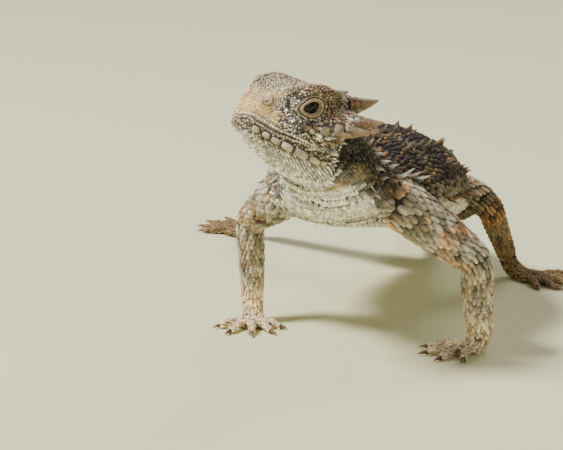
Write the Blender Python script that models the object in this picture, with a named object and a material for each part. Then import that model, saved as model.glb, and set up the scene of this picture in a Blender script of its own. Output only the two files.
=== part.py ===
# A desert horned lizard at life size, propped on its forelegs with the head turned to its right.
# The lizard faces -Y and its left side is +X. Numbers are millimetres until a mesh is made.
import math
import random

import bmesh
import bpy
import numpy as np
from mathutils import Matrix, Vector

MM = 0.001
GAP = 0.3                    # free space between two nodes that meet
RING_POINTS = 26             # points round the neck, torso and tail
LIMB_POINTS = 10             # points round a leg
DIGIT_POINTS = 8
UP = np.array([0.0, 0.0, 1.0])

# Head frame: the origin lies midway between the eyes.
HEAD_CENTRE = np.array([-3.05, -12.9, 35.0])
HEAD_YAW = math.radians(43)      # turned to its right of straight ahead
HEAD_PITCH = math.radians(20)    # snout raised
HEAD_REAR = -6.0                 # where the head stops and the neck starts

# Cross-sections of the head from the snout tip back, one row a station. Columns: distance ahead
# of the eyes, crown height, brow half-width and height, cheek half-width and height, mouth
# half-width and height, jaw half-width and height, chin height.
HEAD_SECTIONS = (
    (5.6, -2.75, 0.8, -2.9, 1.1, -3.3, 1.0, -3.5, 0.9, -4.1, -4.3),
    (4.95, -1.9, 1.7, -2.0, 2.3, -2.9, 2.5, -3.5, 2.2, -4.5, -5.0),
    (4.0, -0.8, 2.7, -0.8, 3.3, -2.5, 3.6, -3.7, 3.3, -4.9, -5.7),
    (2.8, 0.3, 3.7, 0.6, 4.3, -2.1, 4.6, -3.9, 4.4, -5.3, -6.4),
    (1.0, 1.2, 4.8, 1.8, 5.4, -1.7, 5.6, -4.2, 5.4, -5.7, -7.4),
    (-1.3, 2.0, 5.6, 3.0, 6.1, -1.5, 6.3, -4.5, 6.2, -6.0, -8.3),
    (-3.6, 2.3, 5.7, 3.1, 6.6, -1.8, 6.6, -4.8, 6.5, -6.3, -9.0),
    (-6.0, 1.5, 4.6, 1.8, 6.2, -2.0, 6.3, -5.2, 6.1, -6.8, -9.2),
)

EYE = dict(centre=(-0.1, 4.6, 0.0), radius=1.75)
# Lids: centre and radii (ahead, outward, up) of the dome over the eye and of the opening in it,
# and how far the rear end of the opening is raised.
LIDS = dict(dome_centre=(-0.1, 5.25, 0.0), dome=(2.2, 1.8, 1.9), opening_centre=(-0.1, 6.9, 0.0),
            opening=(1.3, 1.6, 0.78), tilt=math.radians(24))
# Ridge that overhangs each eye: its middle line and its radius at the line's points.
BROW = dict(line=((2.7, 4.1, 1.0), (1.0, 5.3, 1.6), (-0.8, 5.9, 2.0), (-2.6, 5.9, 2.3), (-4.2, 5.95, 2.6)),
            radii=(0.3, 0.6, 0.72, 0.66, 0.2), sides=8)
NOSTRIL = dict(centre=(3.85, 2.45, -1.1), rim=0.75, pit=0.32, facing=(0.6, 0.6, 0.5))

# Small spines that stay on the head, in its frame: root, tip, root radius. Each is on both sides.
HEAD_SPINES = (
    ((-2.6, 5.2, 2.2), (-4.9, 6.2, 2.95), 0.85),
    ((-0.4, 5.6, -2.2), (-3.0, 7.9, -2.3), 0.75),
    ((0.9, 5.1, -2.3), (-1.2, 7.1, -2.5), 0.6),
    ((-4.9, 1.0, 0.9), (-7.6, 1.2, 2.2), 0.7),
)
# Plates along the lower edge of the jaw: the first and last centres, the least and most
# half-length, half-width, half-height, and how deep the centre lies in the jaw.
CHIN_PLATES = dict(first=4.3, last=-4.4, count=6, half_length=(0.5, 1.15), half_width=0.42,
                   half_height=0.6, inset=0.12)

# Horns in the head frame: root, tip, root radius, share of the length that stays on the head.
HORNS = {
    "horn_occipital": ((-4.4, 2.9, 0.9), (-11.0, 3.8, 3.4), 1.5, 0.34),
    "horn_temporal_1": ((-4.4, 5.2, -0.3), (-8.7, 9.9, 0.9), 1.25, 0.34),
    "horn_temporal_2": ((-3.3, 5.6, -1.5), (-6.9, 10.4, -0.8), 1.05, 0.34),
    "horn_temporal_3": ((-1.9, 5.9, -2.2), (-5.1, 9.5, -1.9), 0.95, 0.42),
}

# Stations of the body behind the head: centre, downward slope in degrees, turn to its left in
# degrees, half-width, height above the centre, depth below it.
BODY = (
    ("nape", (0.4, -6.2, 25.9), 52, 12, 6.3, 5.2, 5.2),
    ("neck_root", (0.2, -1.6, 22.4), 33, 2, 8.2, 5.5, 5.6),
    ("shoulder", (0.1, 3.5, 20.8), 12, 0, 10.7, 6.4, 5.4),
    ("chest", (0.0, 10.0, 20.1), 6, 0, 12.7, 7.5, 6.0),
    ("belly", (-0.2, 17.0, 18.7), 13, 0, 13.6, 8.0, 6.2),
    ("loin", (-0.4, 26.0, 15.8), 18, 0, 11.9, 7.3, 5.4),
    ("waist", (-0.5, 34.0, 13.1), 19, 0, 9.2, 5.9, 4.7),
    ("hip", (-0.5, 41.5, 10.8), 20, -2, 7.3, 4.9, 4.4),
    ("vent", (-0.5, 47.5, 8.8), 24, -8, 5.2, 4.0, 3.9),
    ("tail_1", (-1.5, 53.0, 6.0), 27, -14, 3.6, 3.0, 2.9),
    ("tail_2", (-3.2, 58.5, 3.6), 20, -20, 2.7, 2.2, 2.2),
    ("tail_3", (-5.8, 64.5, 1.9), 10, -26, 2.1, 1.7, 2.1),
    ("tail_4", (-9.0, 70.5, 1.2), 4, -30, 1.6, 1.3, 1.5),
    ("tail_5", (-12.4, 76.0, 0.9), 2, -33, 1.15, 0.95, 1.2),
    ("tail_end", (-16.0, 81.5, 0.5), 2, -34, 0.5, 0.45, 0.8),
)
NECK_FRONT = dict(over=-0.4, under=-9.0, width=6.0)    # section where the neck leaves the head
BACK_DOME = 1.12             # over 1 slopes the back down to a low edge
BELLY_FLAT = 0.85            # under 1 squares the belly
SIDE_ROUND = 0.95            # under 1 fills out the sides
# Nodes along the body: where each starts and ends, and how many rings it has.
SPANS = (("neck", "head", "neck_root", 7), ("torso", "neck_root", "waist", 20), ("hips", "waist", "vent", 8),
         ("tail_base", "vent", "tail_2", 7), ("tail_middle", "tail_2", "tail_4", 7),
         ("tail_tip", "tail_4", "tail_end", 6))

# Rows of spines on each side of the body: first and last station, angle from the ridge of the
# back in degrees, how many, length at the two ends, root radius, and how far they lean back.
SPINE_ROWS = (
    ("shoulder", "waist", 96, 15, (1.9, 1.5), 0.62, 0.5),
    ("neck_root", "shoulder", 74, 2, (2.2, 2.0), 0.7, 0.6),
    ("neck_root", "hip", 19, 10, (1.4, 1.3), 0.72, 0.75),
    ("shoulder", "waist", 43, 7, (1.7, 1.4), 0.75, 0.7),
    ("chest", "waist", 68, 6, (1.4, 1.2), 0.65, 0.7),
    ("vent", "tail_4", 84, 9, (1.3, 0.8), 0.5, 0.7),
    ("vent", "tail_4", 34, 7, (1.1, 0.7), 0.5, 0.8),
    ("nape", "neck_root", 62, 2, (1.5, 1.5), 0.65, 0.7),
    ("nape", "neck_root", 88, 2, (1.8, 1.6), 0.65, 0.6),
    ("nape", "neck_root", 112, 2, (1.6, 1.4), 0.6, 0.6),
)
SPINE_SEED = 7
END_CLEARANCE = 1.0          # spines keep this far from the cut between two nodes
LEG_CLEARANCE = 0.9          # and this far from a leg's surface

# Legs: where the limb starts inside the body, its joint centres (shoulder, elbow, wrist or hip,
# knee, ankle), its radii at the root, the upper bone, the lower bone and the last joint, and the
# direction that the middle of the hand or foot points, in degrees from +X towards +Y.
LEGS = {
    "fore_left": dict(root=(5.0, 2.0, 21.0), radii=(3.2, 3.1, 2.05, 1.65), toes="hand", heading=-144,
                      joints=((9.2, 0.2, 19.3), (18.9, -0.2, 13.0), (19.0, 2.2, 2.5))),
    "fore_right": dict(root=(-5.0, 2.2, 21.0), radii=(3.1, 2.8, 1.75, 1.45), toes="hand", heading=-76,
                       joints=((-7.9, 2.6, 19.4), (-14.6, 7.4, 14.4), (-14.1, 7.0, 2.6))),
    "hind_left": dict(root=(3.0, 41.5, 11.5), radii=(3.6, 3.0, 1.7, 1.4), toes="foot", heading=-18,
                      joints=((6.4, 38.6, 12.5), (12.9, 31.0, 14.6), (13.5, 42.8, 3.5))),
    "hind_right": dict(root=(-3.0, 41.5, 11.5), radii=(3.6, 3.0, 1.7, 1.4), toes="foot", heading=136,
                       joints=((-7.2, 40.8, 11.4), (-17.6, 43.6, 11.6), (-30.0, 53.0, 4.6))),
}
LEG_NODES = {"fore": ("upper_arm", "forearm", "hand"), "hind": ("thigh", "shank", "foot")}
# Sole length, half-width and thickness, then the digits from the inner side outward: turn from
# the middle in degrees and length with the claw.
TOES = {
    "hand": dict(palm=3.4, width=2.3, height=1.5,
                 digits=((64, 3.4), (32, 4.6), (4, 5.2), (-26, 5.0), (-62, 3.6))),
    "foot": dict(palm=6.5, width=2.4, height=1.6,
                 digits=((44, 4.2), (22, 6.2), (4, 8.2), (-14, 9.4), (-44, 5.4))),
}
DIGIT_RADIUS = 0.62
FLOOR_SINK = 0.35            # how deep a sole reaches below the floor before it is cut flat

COLOURS = {
    "skin_back": ((0.20, 0.13, 0.08), 0.75),
    "skin_head": ((0.36, 0.24, 0.15), 0.7),
    "skin_pale": ((0.52, 0.45, 0.40), 0.75),
    "horn": ((0.45, 0.29, 0.19), 0.5),
    "eye": ((0.02, 0.012, 0.008), 0.12),
}


def unit(v):
    return v / np.linalg.norm(v)


def spline(knots, values, t):
    """Smooth curve through values at knots, read at t."""
    i = int(np.clip(np.searchsorted(knots, t) - 1, 0, len(knots) - 2))
    def slope(j):
        a, b = max(j - 1, 0), min(j + 1, len(knots) - 1)
        return (values[b] - values[a]) / (knots[b] - knots[a])
    h = knots[i + 1] - knots[i]
    u = (t - knots[i]) / h
    return ((2 * u**3 - 3 * u**2 + 1) * values[i] + (u**3 - 2 * u**2 + u) * h * slope(i)
            + (3 * u**2 - 2 * u**3) * values[i + 1] + (u**3 - u**2) * h * slope(i + 1))


def chord_knots(points):
    return np.concatenate([[0.0], np.cumsum(np.linalg.norm(np.diff(points, axis=0), axis=1))])


def axes_from(tangent):
    """Left and upward axes of a section that faces along the tangent."""
    side = unit(np.cross(tangent, UP))
    return side, np.cross(side, tangent)


def head_axes():
    flat = np.array([-math.sin(HEAD_YAW), -math.cos(HEAD_YAW), 0.0])
    left = np.cross(UP, flat)
    forward = flat * math.cos(HEAD_PITCH) + UP * math.sin(HEAD_PITCH)
    return forward, left, np.cross(forward, left)


FORWARD, LEFT, CROWN = head_axes()


def in_head(point):
    f, l, u = point
    return HEAD_CENTRE + f * FORWARD + l * LEFT + u * CROWN


def material(name):
    mat = bpy.data.materials.get(name)
    if mat is None:
        mat = bpy.data.materials.new(name)
        mat.use_nodes = True
        shader = mat.node_tree.nodes["Principled BSDF"]
        colour, rough = COLOURS[name]
        shader.inputs["Base Color"].default_value = (*colour, 1.0)
        shader.inputs["Roughness"].default_value = rough
    return mat


def add_object(name, mesh, collection):
    obj = bpy.data.objects.new(name, mesh)
    collection.objects.link(obj)
    return obj


def loft(name, rings, collection):
    """Closed mesh through rings of equal point counts, with a flat cap at each end."""
    bm = bmesh.new()
    rows = [[bm.verts.new(Vector(p) * MM) for p in ring] for ring in rings]
    count = len(rows[0])
    for low, high in zip(rows, rows[1:]):
        for i in range(count):
            bm.faces.new((low[i], low[(i + 1) % count], high[(i + 1) % count], high[i]))
    bm.faces.new(rows[0])
    bm.faces.new(rows[-1])
    bmesh.ops.recalc_face_normals(bm, faces=bm.faces)
    if bm.calc_volume(signed=True) < 0:
        bmesh.ops.reverse_faces(bm, faces=bm.faces)
    mesh = bpy.data.meshes.new(name)
    bm.to_mesh(mesh)
    bm.free()
    return add_object(name, mesh, collection)


def fuse(name, pieces, cutters, node_material, solver="EXACT"):
    """One node from pieces that overlap: a single union, then each cutter is taken away."""
    body = pieces[0]
    steps = []
    if len(pieces) > 1:
        group = bpy.data.collections.new(name + "_pieces")
        for piece in pieces[1:]:
            group.objects.link(piece)
        steps.append(("UNION", group))
    for cutter in cutters:
        steps.append(("DIFFERENCE", cutter))
    for operation, operand in steps:
        boolean = body.modifiers.new("shape", "BOOLEAN")
        boolean.operation = operation
        boolean.solver = solver
        if operation == "UNION":
            boolean.operand_type = "COLLECTION"
            boolean.collection = operand
        else:
            boolean.object = operand
        graph = bpy.context.evaluated_depsgraph_get()
        mesh = bpy.data.meshes.new_from_object(body.evaluated_get(graph))
        body.modifiers.clear()
        body.data = mesh
        if operation == "UNION":
            for piece in list(operand.objects):
                bpy.data.objects.remove(piece)
            bpy.data.collections.remove(operand)
    keep_largest(body.data)
    finish(body, name, node_material)
    return body


def keep_largest(mesh):
    """Drops every closed surface but the one that holds the most."""
    bm = bmesh.new()
    bm.from_mesh(mesh)
    bmesh.ops.remove_doubles(bm, verts=bm.verts, dist=0.002 * MM)
    left = set(bm.faces)
    shells = []
    while left:
        stack = [left.pop()]
        shell = set(stack)
        while stack:
            for edge in stack.pop().edges:
                for face in edge.link_faces:
                    if face in left:
                        left.remove(face)
                        shell.add(face)
                        stack.append(face)
        shells.append(shell)
    shells.sort(key=lambda s: sum(f.calc_area() for f in s), reverse=True)
    loose = [f for shell in shells[1:] for f in shell]
    bmesh.ops.delete(bm, geom=loose, context="FACES")
    bmesh.ops.delete(bm, geom=[v for v in bm.verts if not v.link_faces], context="VERTS")
    bm.to_mesh(mesh)
    bm.free()


def finish(obj, name, node_material):
    obj.name = name
    obj.data.name = name
    obj.data.materials.clear()
    obj.data.materials.append(material(node_material))
    for polygon in obj.data.polygons:
        polygon.material_index = 0
    obj.data.shade_smooth()
    obj.data.set_sharp_from_angle(angle=math.radians(35))
    if obj.name not in lizard.objects:
        lizard.objects.link(obj)
    if obj.name in workshop.objects:
        workshop.objects.unlink(obj)
    print(name, len(obj.data.polygons))


def head_outline(f, upper_points=18, lower_points=14):
    """Half outline of the head at f from crown to mouth, and from mouth to chin, in (l, u)."""
    table = np.array(HEAD_SECTIONS[::-1])
    _, crown, brow_w, brow_u, cheek_w, cheek_u, mouth_w, mouth_u, jaw_w, jaw_u, chin = \
        spline(table[:, 0], table, f)
    upper = np.array([(-brow_w, brow_u), (0, crown), (brow_w, brow_u), (cheek_w, cheek_u),
                      (mouth_w, mouth_u)])
    lower = np.array([(mouth_w, mouth_u), (jaw_w, jaw_u), (0, chin), (-jaw_w, jaw_u)])
    def walk(points, first, last, count):
        knots = chord_knots(points)
        return [spline(knots, points, t) for t in np.linspace(knots[first], knots[last], count)]
    return walk(upper, 1, 4, upper_points // 2 + 1), walk(lower, 0, 2, lower_points // 2 + 1)


def mirrored(half):
    """Full arc from the left end over the middle to the right end; half starts at the middle."""
    return [(l, u) for l, u in half[::-1]] + [(-l, u) for l, u in half[1:]]


def build_head():
    tip = HEAD_SECTIONS[0][0]
    stations = list(np.linspace(tip, tip - 0.7, 3)) + list(np.linspace(tip - 1.2, HEAD_REAR + GAP / 2, 14))
    upper_rings, lower_rings = [], []
    for f in stations:
        over, under = head_outline(f)
        upper_rings.append([in_head((f, l, u)) for l, u in mirrored(over)])
        gape = under[0][1] - GAP
        half = [(l, min(u, gape)) for l, u in under]
        lower_rings.append([in_head((f, l, u)) for l, u in mirrored(half[::-1])])
    head = loft("head", upper_rings, workshop)
    jaw = loft("jaw", lower_rings, workshop)
    roots = []
    for name, (root, tip, radius, rooted) in HORNS.items():
        for side, sign in (("left", 1), ("right", -1)):
            stub, horn = horn_pieces(name + "_" + side, mirror_point(root, sign), mirror_point(tip, sign),
                                     radius, rooted)
            roots.append(stub)
            fuse(name + "_" + side, [horn], [], "horn")
    sockets = []
    for side, sign in (("left", 1), ("right", -1)):
        centre = in_head(mirror_point(EYE["centre"], sign))
        sockets.append(ball("socket_" + side, centre, EYE["radius"] + GAP))
        eye = ball("eye_" + side, centre, EYE["radius"])
        fuse("eye_" + side, [eye], [], "eye")
    for sign in (1, -1):
        roots.append(head_ball("lids", mirror_point(LIDS["dome_centre"], sign), LIDS["dome"], 16, 10))
        roots.append(brow_ridge(sign))
        slit = mirror_point(LIDS["opening_centre"], sign)
        sockets.append(head_ball("lid_opening", slit, LIDS["opening"], 14, 8, LIDS["tilt"]))
        nostril = mirror_point(NOSTRIL["centre"], sign)
        roots.append(head_ball("nostril_rim", nostril, (NOSTRIL["rim"],) * 3, 10, 6))
        pit = np.array(nostril) + unit(np.array(mirror_point(NOSTRIL["facing"], sign))) * NOSTRIL["rim"]
        sockets.append(head_ball("nostril_pit", pit, (NOSTRIL["pit"],) * 3, 8, 6))
        for root, tip, radius in HEAD_SPINES:
            a, b = in_head(mirror_point(root, sign)), in_head(mirror_point(tip, sign))
            roots.append(spine("head_spine", a, b - a, np.linalg.norm(b - a), radius))
    fuse("head", [head] + roots, sockets, "skin_head")
    for socket in sockets:
        bpy.data.objects.remove(socket)
    fuse("jaw", [jaw] + chin_plates(), [], "skin_pale", "MANIFOLD")


def brow_ridge(sign):
    """Tapered ridge over one eye, with the spine of the brow at its rear end."""
    centres = [in_head(mirror_point(point, sign)) for point in BROW["line"]]
    rings = []
    for i, (centre, radius) in enumerate(zip(centres, BROW["radii"])):
        along = unit(centres[min(i + 1, len(centres) - 1)] - centres[max(i - 1, 0)])
        over = unit(np.cross(np.cross(along, CROWN), along))
        across = np.cross(over, along)
        rings.append([centre + radius * (math.cos(k) * across + math.sin(k) * over)
                      for k in np.linspace(0, 2 * math.pi, BROW["sides"], endpoint=False)])
    return loft("brow_ridge", rings, workshop)


def chin_plates():
    """Raised plates in a row along each lower edge of the jaw."""
    table = np.array(HEAD_SECTIONS[::-1])
    small, large = CHIN_PLATES["half_length"]
    plates = []
    for sign in (1, -1):
        for i, f in enumerate(np.linspace(CHIN_PLATES["first"], CHIN_PLATES["last"], CHIN_PLATES["count"])):
            jaw_width, jaw_height = spline(table[:, 0], table, f)[8:10]
            size = small + (large - small) * math.sin(math.pi * (i + 0.3) / CHIN_PLATES["count"])
            radii = (size, CHIN_PLATES["half_width"], CHIN_PLATES["half_height"])
            centre = (f, sign * (jaw_width - CHIN_PLATES["inset"]), jaw_height)
            plates.append(head_ball("chin_plate", centre, radii, 7, 5))
    return plates


def head_ball(name, centre, radii, segments, rings, tilt=0.0):
    """Ellipsoid with its radii ahead, outward and up in the head frame; tilt raises its rear."""
    bm = bmesh.new()
    bmesh.ops.create_uvsphere(bm, u_segments=segments, v_segments=rings, radius=1.0)
    ahead = FORWARD * math.cos(tilt) - CROWN * math.sin(tilt)
    above = CROWN * math.cos(tilt) + FORWARD * math.sin(tilt)
    middle = in_head(centre)
    for v in bm.verts:
        x, y, z = v.co.x * radii[0], v.co.y * radii[1], v.co.z * radii[2]
        v.co = Vector((middle + ahead * x + LEFT * y + above * z) * MM)
    mesh = bpy.data.meshes.new(name)
    bm.to_mesh(mesh)
    bm.free()
    return add_object(name, mesh, workshop)


def spine(name, root, direction, length, radius, sides=6, sink=0.45):
    """Tapered spine whose root is sunk below the point that it grows from."""
    along = Vector(direction).normalized()
    bm = bmesh.new()
    bmesh.ops.create_cone(bm, cap_ends=True, segments=sides, radius1=radius * MM, radius2=0.0,
                          depth=(length + sink) * MM)
    turn = along.to_track_quat("Z", "Y").to_matrix().to_4x4()
    middle = Vector(root) * MM + along * ((length - sink) / 2) * MM
    bmesh.ops.transform(bm, matrix=Matrix.Translation(middle) @ turn, verts=bm.verts)
    mesh = bpy.data.meshes.new(name)
    bm.to_mesh(mesh)
    bm.free()
    return add_object(name, mesh, workshop)


def mirror_point(point, sign):
    return (point[0], point[1] * sign, point[2])


def ball(name, centre, radius, segments=16, rings=10):
    bm = bmesh.new()
    bmesh.ops.create_uvsphere(bm, u_segments=segments, v_segments=rings, radius=radius * MM,
                              matrix=Matrix.Translation(Vector(centre) * MM))
    mesh = bpy.data.meshes.new(name)
    bm.to_mesh(mesh)
    bm.free()
    return add_object(name, mesh, workshop)


def horn_pieces(name, root, tip, radius, rooted, sides=10):
    """The rooted stub and the free horn of one tapered, slightly upturned horn."""
    a, b = in_head(root), in_head(tip)
    lift = 0.06 * np.linalg.norm(b - a) * CROWN
    line = [(a * (1 - t) + b * t) - lift * 4 * t * (1 - t) for t in np.linspace(0, 1, 9)]
    knots = np.linspace(0, 1, 9)
    centres = np.array(line)
    axis = unit(b - a)
    across = unit(np.cross(axis, CROWN))
    over = np.cross(across, axis)
    def ring(t, shift=0.0):
        r = radius * (1 - t) ** 0.8 + 0.04
        c = spline(knots, centres, t) + axis * shift
        return [c + r * (math.cos(k) * across + math.sin(k) * over)
                for k in np.linspace(0, 2 * math.pi, sides, endpoint=False)]
    stub = [ring(0), ring(rooted / 2), ring(rooted, -GAP / 2)]
    free = [ring(rooted, GAP / 2)] + [ring(t) for t in np.linspace(rooted, 1, 6)[1:]]
    return loft(name + "_root", stub, workshop), loft(name, free, workshop)


def body_table():
    rows = []
    for _, centre, fall, turn, width, over, under in BODY:
        a, b = math.radians(fall), math.radians(turn)
        tangent = (math.sin(b) * math.cos(a), math.cos(b) * math.cos(a), -math.sin(a))
        rows.append((*centre, *tangent, width, over, under))
    top, bottom = NECK_FRONT["over"], NECK_FRONT["under"]
    front = (*in_head((HEAD_REAR, 0.0, (top + bottom) / 2)), *(-FORWARD), NECK_FRONT["width"],
             (top - bottom) / 2, (top - bottom) / 2)
    return np.array([front] + rows)


TABLE = body_table()
KNOTS = chord_knots(TABLE[:, :3])
STATION = dict(zip(["head"] + [row[0] for row in BODY], KNOTS))


def body_frame(s):
    row = spline(KNOTS, TABLE, s)
    tangent = unit(row[3:6])
    side, over = axes_from(tangent)
    return row[:3], tangent, side, over, row[6:9]


def body_point(s, angle, shift=0.0, swell=0.0):
    """Point of the body's skin at distance s, at an angle from the ridge of the back to its left."""
    centre, tangent, side, over, sizes = body_frame(s)
    width, high, low = sizes + swell
    sn, cs = math.sin(angle), math.cos(angle)
    reach = high if cs > 0 else low
    across = width * math.copysign(abs(sn) ** SIDE_ROUND, sn)
    rise = reach * math.copysign(abs(cs) ** (BACK_DOME if cs > 0 else BELLY_FLAT), cs)
    return centre + tangent * shift + side * across + over * rise


def body_ring(s, shift=0.0, swell=0.0):
    return [body_point(s, a, shift, swell) for a in np.linspace(0, 2 * math.pi, RING_POINTS, endpoint=False)]


def build_body():
    swollen_rings = [body_ring(s, 0.0, GAP) for s in np.linspace(0.0, STATION["tail_1"], 44)]
    swollen = loft("swollen_body", swollen_rings, cutting)
    swollen.hide_render = True
    swollen.display_type = "WIRE"
    limbs = [sample for leg in LEGS for sample in build_leg(leg, swollen)]
    bpy.data.objects.remove(swollen)
    spines = body_spines(limbs)
    for name, start, end, steps in SPANS:
        a, b = STATION[start], STATION[end]
        inner = np.linspace(a, b, steps)[1:-1]
        rings = [body_ring(a, GAP / 2)] + [body_ring(s) for s in inner] + [body_ring(b, -GAP / 2)]
        node = loft(name, rings, workshop)
        cutters = [floor_box()] if name.startswith("tail") else []
        fuse(name, [node] + spines[name], cutters, "skin_back")
        for cutter in cutters:
            bpy.data.objects.remove(cutter)


def body_spines(limbs):
    """Spines of the back, the fringe, the neck and the tail, sorted by the node that they grow from."""
    draw = random.Random(SPINE_SEED)
    spines = {name: [] for name, *_ in SPANS}
    for first, last, degrees, count, lengths, radius, lean in SPINE_ROWS:
        for sign in (1, -1):
            for i in range(count):
                t = (i + 0.5 + draw.uniform(-0.18, 0.18)) / count
                s = STATION[first] + (STATION[last] - STATION[first]) * t
                angle = math.radians(degrees + draw.uniform(-3, 3)) * sign
                length = (lengths[0] + (lengths[1] - lengths[0]) * t) * draw.uniform(0.85, 1.1)
                node, start, end = next((name, STATION[a], STATION[b]) for name, a, b, _ in SPANS
                                        if STATION[a] <= s <= STATION[b])
                s = min(max(s, start + END_CLEARANCE), end - END_CLEARANCE - length * lean)
                root = body_point(s, angle)
                along = body_frame(s)[1]
                round_it = body_point(s, angle + 0.05) - body_point(s, angle - 0.05)
                outward = unit(np.cross(round_it, along))
                if all(np.linalg.norm(root - centre) > size + LEG_CLEARANCE for centre, size in limbs):
                    spines[node].append(spine("spine", root, outward + along * lean, length, radius))
    return spines


def floor_box():
    """Everything below the floor, as a cutter."""
    bm = bmesh.new()
    bmesh.ops.create_cube(bm, size=1.0)
    bmesh.ops.scale(bm, vec=(0.3, 0.3, 0.02), verts=bm.verts)
    bmesh.ops.translate(bm, vec=(0.0, 0.02, -0.01), verts=bm.verts)
    mesh = bpy.data.meshes.new("floor_box")
    bm.to_mesh(mesh)
    bm.free()
    box = add_object("floor_box", mesh, cutting)
    box.hide_render = True
    box.display_type = "WIRE"
    return box


def rounded_path(points, radius, arc_steps=8):
    """Straight runs between points with each corner turned by an arc; also the arcs' middles."""
    path, middles = [points[0]], []
    for a, b, c in zip(points, points[1:], points[2:]):
        into, out = unit(b - a), unit(c - b)
        turn = math.acos(np.clip(into @ out, -1.0, 1.0))
        reach = min(radius * math.tan(turn / 2), 0.47 * np.linalg.norm(b - a), 0.47 * np.linalg.norm(c - b))
        bend = reach / math.tan(turn / 2)
        centre = b + unit(out - into) * bend / math.cos(turn / 2)
        start = b - into * reach - centre
        inward = unit(np.cross(np.cross(into, out), into))
        for k in range(arc_steps + 1):
            angle = turn * k / arc_steps
            path.append(centre - inward * bend * math.cos(angle) + into * bend * math.sin(angle))
        middles.append(len(path) - 1 - arc_steps // 2)
    path.append(points[-1])
    return np.array(path), middles


def build_leg(leg, swollen):
    """The nodes of one leg, cut clear of the swollen body; returns centres and radii along it."""
    data = LEGS[leg]
    pair, side = leg.split("_")
    root, hip, knee, ankle = (np.array(p) for p in (data["root"], *data["joints"]))
    r_root, r_top, r_low, r_end = data["radii"]
    path, middles = rounded_path([root, hip, knee, ankle], r_low * 1.12)
    knots = chord_knots(path)
    s_hip, s_knee, s_ankle = knots[middles[0]], knots[middles[1]], knots[-1]
    marks = np.array([0.0, s_hip, s_hip * 0.45 + s_knee * 0.55, s_knee,
                      s_knee * 0.7 + s_ankle * 0.3, s_ankle])
    widths = np.array([r_root, r_root, r_top * 0.9, (r_top + r_low) * 0.42, r_low, r_end])

    def at(s):
        return np.array([np.interp(s, knots, path[:, i]) for i in range(3)])

    def tangent(s):
        return unit(at(min(s + 0.25, s_ankle)) - at(max(s - 0.25, 0.0)))

    start_side = unit(np.cross(tangent(0.0), UP))

    def ring(s, shift=0.0):
        radius = spline(marks, widths, s)
        return limb_ring(at(s), tangent(s), start_side, radius, radius, shift)

    names = [part + "_" + side for part in LEG_NODES[pair]]
    halves = ((names[0], 0.0, s_knee, 13, [swollen]), (names[1], s_knee, s_ankle, 11, []))
    for name, a, b, steps, cutters in halves:
        rings = [ring(a, GAP / 2)] + [ring(s) for s in np.linspace(a, b, steps)[1:-1]] + [ring(b, -GAP / 2)]
        fuse(name, [loft(name, rings, workshop)], cutters, "skin_pale")
    build_foot(names[2], data, ankle, tangent(s_ankle), r_end)
    return [(at(s), spline(marks, widths, s)) for s in np.linspace(0.0, s_ankle, 30)]


def limb_ring(centre, along, side, half_width, half_height, shift=0.0):
    a = unit(np.cross(along, np.cross(side, along)))
    b = np.cross(a, along)
    c = centre + along * shift
    return [c + half_width * math.cos(k) * a + half_height * math.sin(k) * b
            for k in np.linspace(0, 2 * math.pi, LIMB_POINTS, endpoint=False)]


def build_foot(name, data, ankle, down, ankle_radius):
    """Hand or foot: the ankle bends into a flat sole that carries five digits."""
    toes = TOES[data["toes"]]
    heading = math.radians(data["heading"])
    ahead = np.array([math.cos(heading), math.sin(heading), 0.0])
    left = np.array([-ahead[1], ahead[0], 0.0])
    sole, width, height = toes["palm"], toes["width"], toes["height"]
    level = UP * (height / 2 - FLOOR_SINK * 0.6)
    foot_of_ankle = ankle * (1, 1, 0)
    stations = (
        (ankle, down, ankle_radius, ankle_radius),
        (ankle * 0.45 + (foot_of_ankle + level) * 0.55 + ahead * sole * 0.12, unit(down + ahead * 0.6),
         ankle_radius * 1.02, ankle_radius * 0.95),
        (foot_of_ankle + level * 1.15 + ahead * sole * 0.42, unit(down * 0.25 + ahead),
         width * 0.82, height * 0.62),
        (foot_of_ankle + level + ahead * sole * 0.75, ahead, width, height * 0.52),
        (foot_of_ankle + level * 0.9 + ahead * sole * 1.1, ahead, width * 0.8, height * 0.42),
    )
    rings = [limb_ring(c, t, left, w, h, GAP / 2 if i == 0 else 0.0)
             for i, (c, t, w, h) in enumerate(stations)]
    pieces = [loft(name, rings, workshop)]
    outer = 1 if name.endswith("left") else -1
    for index, (turn, length) in enumerate(toes["digits"]):
        pieces.append(digit(name + "_digit_%d" % index, foot_of_ankle + ahead * sole, ahead, left,
                            math.radians(turn) * -outer, length, toes))
    box = floor_box()
    fuse(name, pieces, [box], "skin_pale")
    bpy.data.objects.remove(box)


def digit(name, palm_end, ahead, left, turn, length, toes):
    direction = ahead * math.cos(turn) + left * math.sin(turn)
    across = np.cross(UP, direction)
    base = palm_end - ahead * toes["palm"] * 0.35 + left * math.sin(turn) * toes["width"] * 0.45
    full = length + toes["palm"] * 0.35
    rings = []
    for t in (0.0, 0.3, 0.5, 0.66, 0.76, 0.8, 0.9, 1.0):
        r = DIGIT_RADIUS if t < 0.5 else DIGIT_RADIUS * 0.92
        r = r if t < 0.78 else 0.36 * (1 - t) / 0.2 + 0.06
        arch = 0.5 * math.sin(math.pi * min(t / 0.75, 1.0))
        c = base + direction * full * t + UP * (r * 0.75 - 0.1 + arch)
        rings.append([c + r * (math.cos(k) * across + math.sin(k) * UP)
                      for k in np.linspace(0, 2 * math.pi, DIGIT_POINTS, endpoint=False)])
    return loft(name, rings, workshop)


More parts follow.
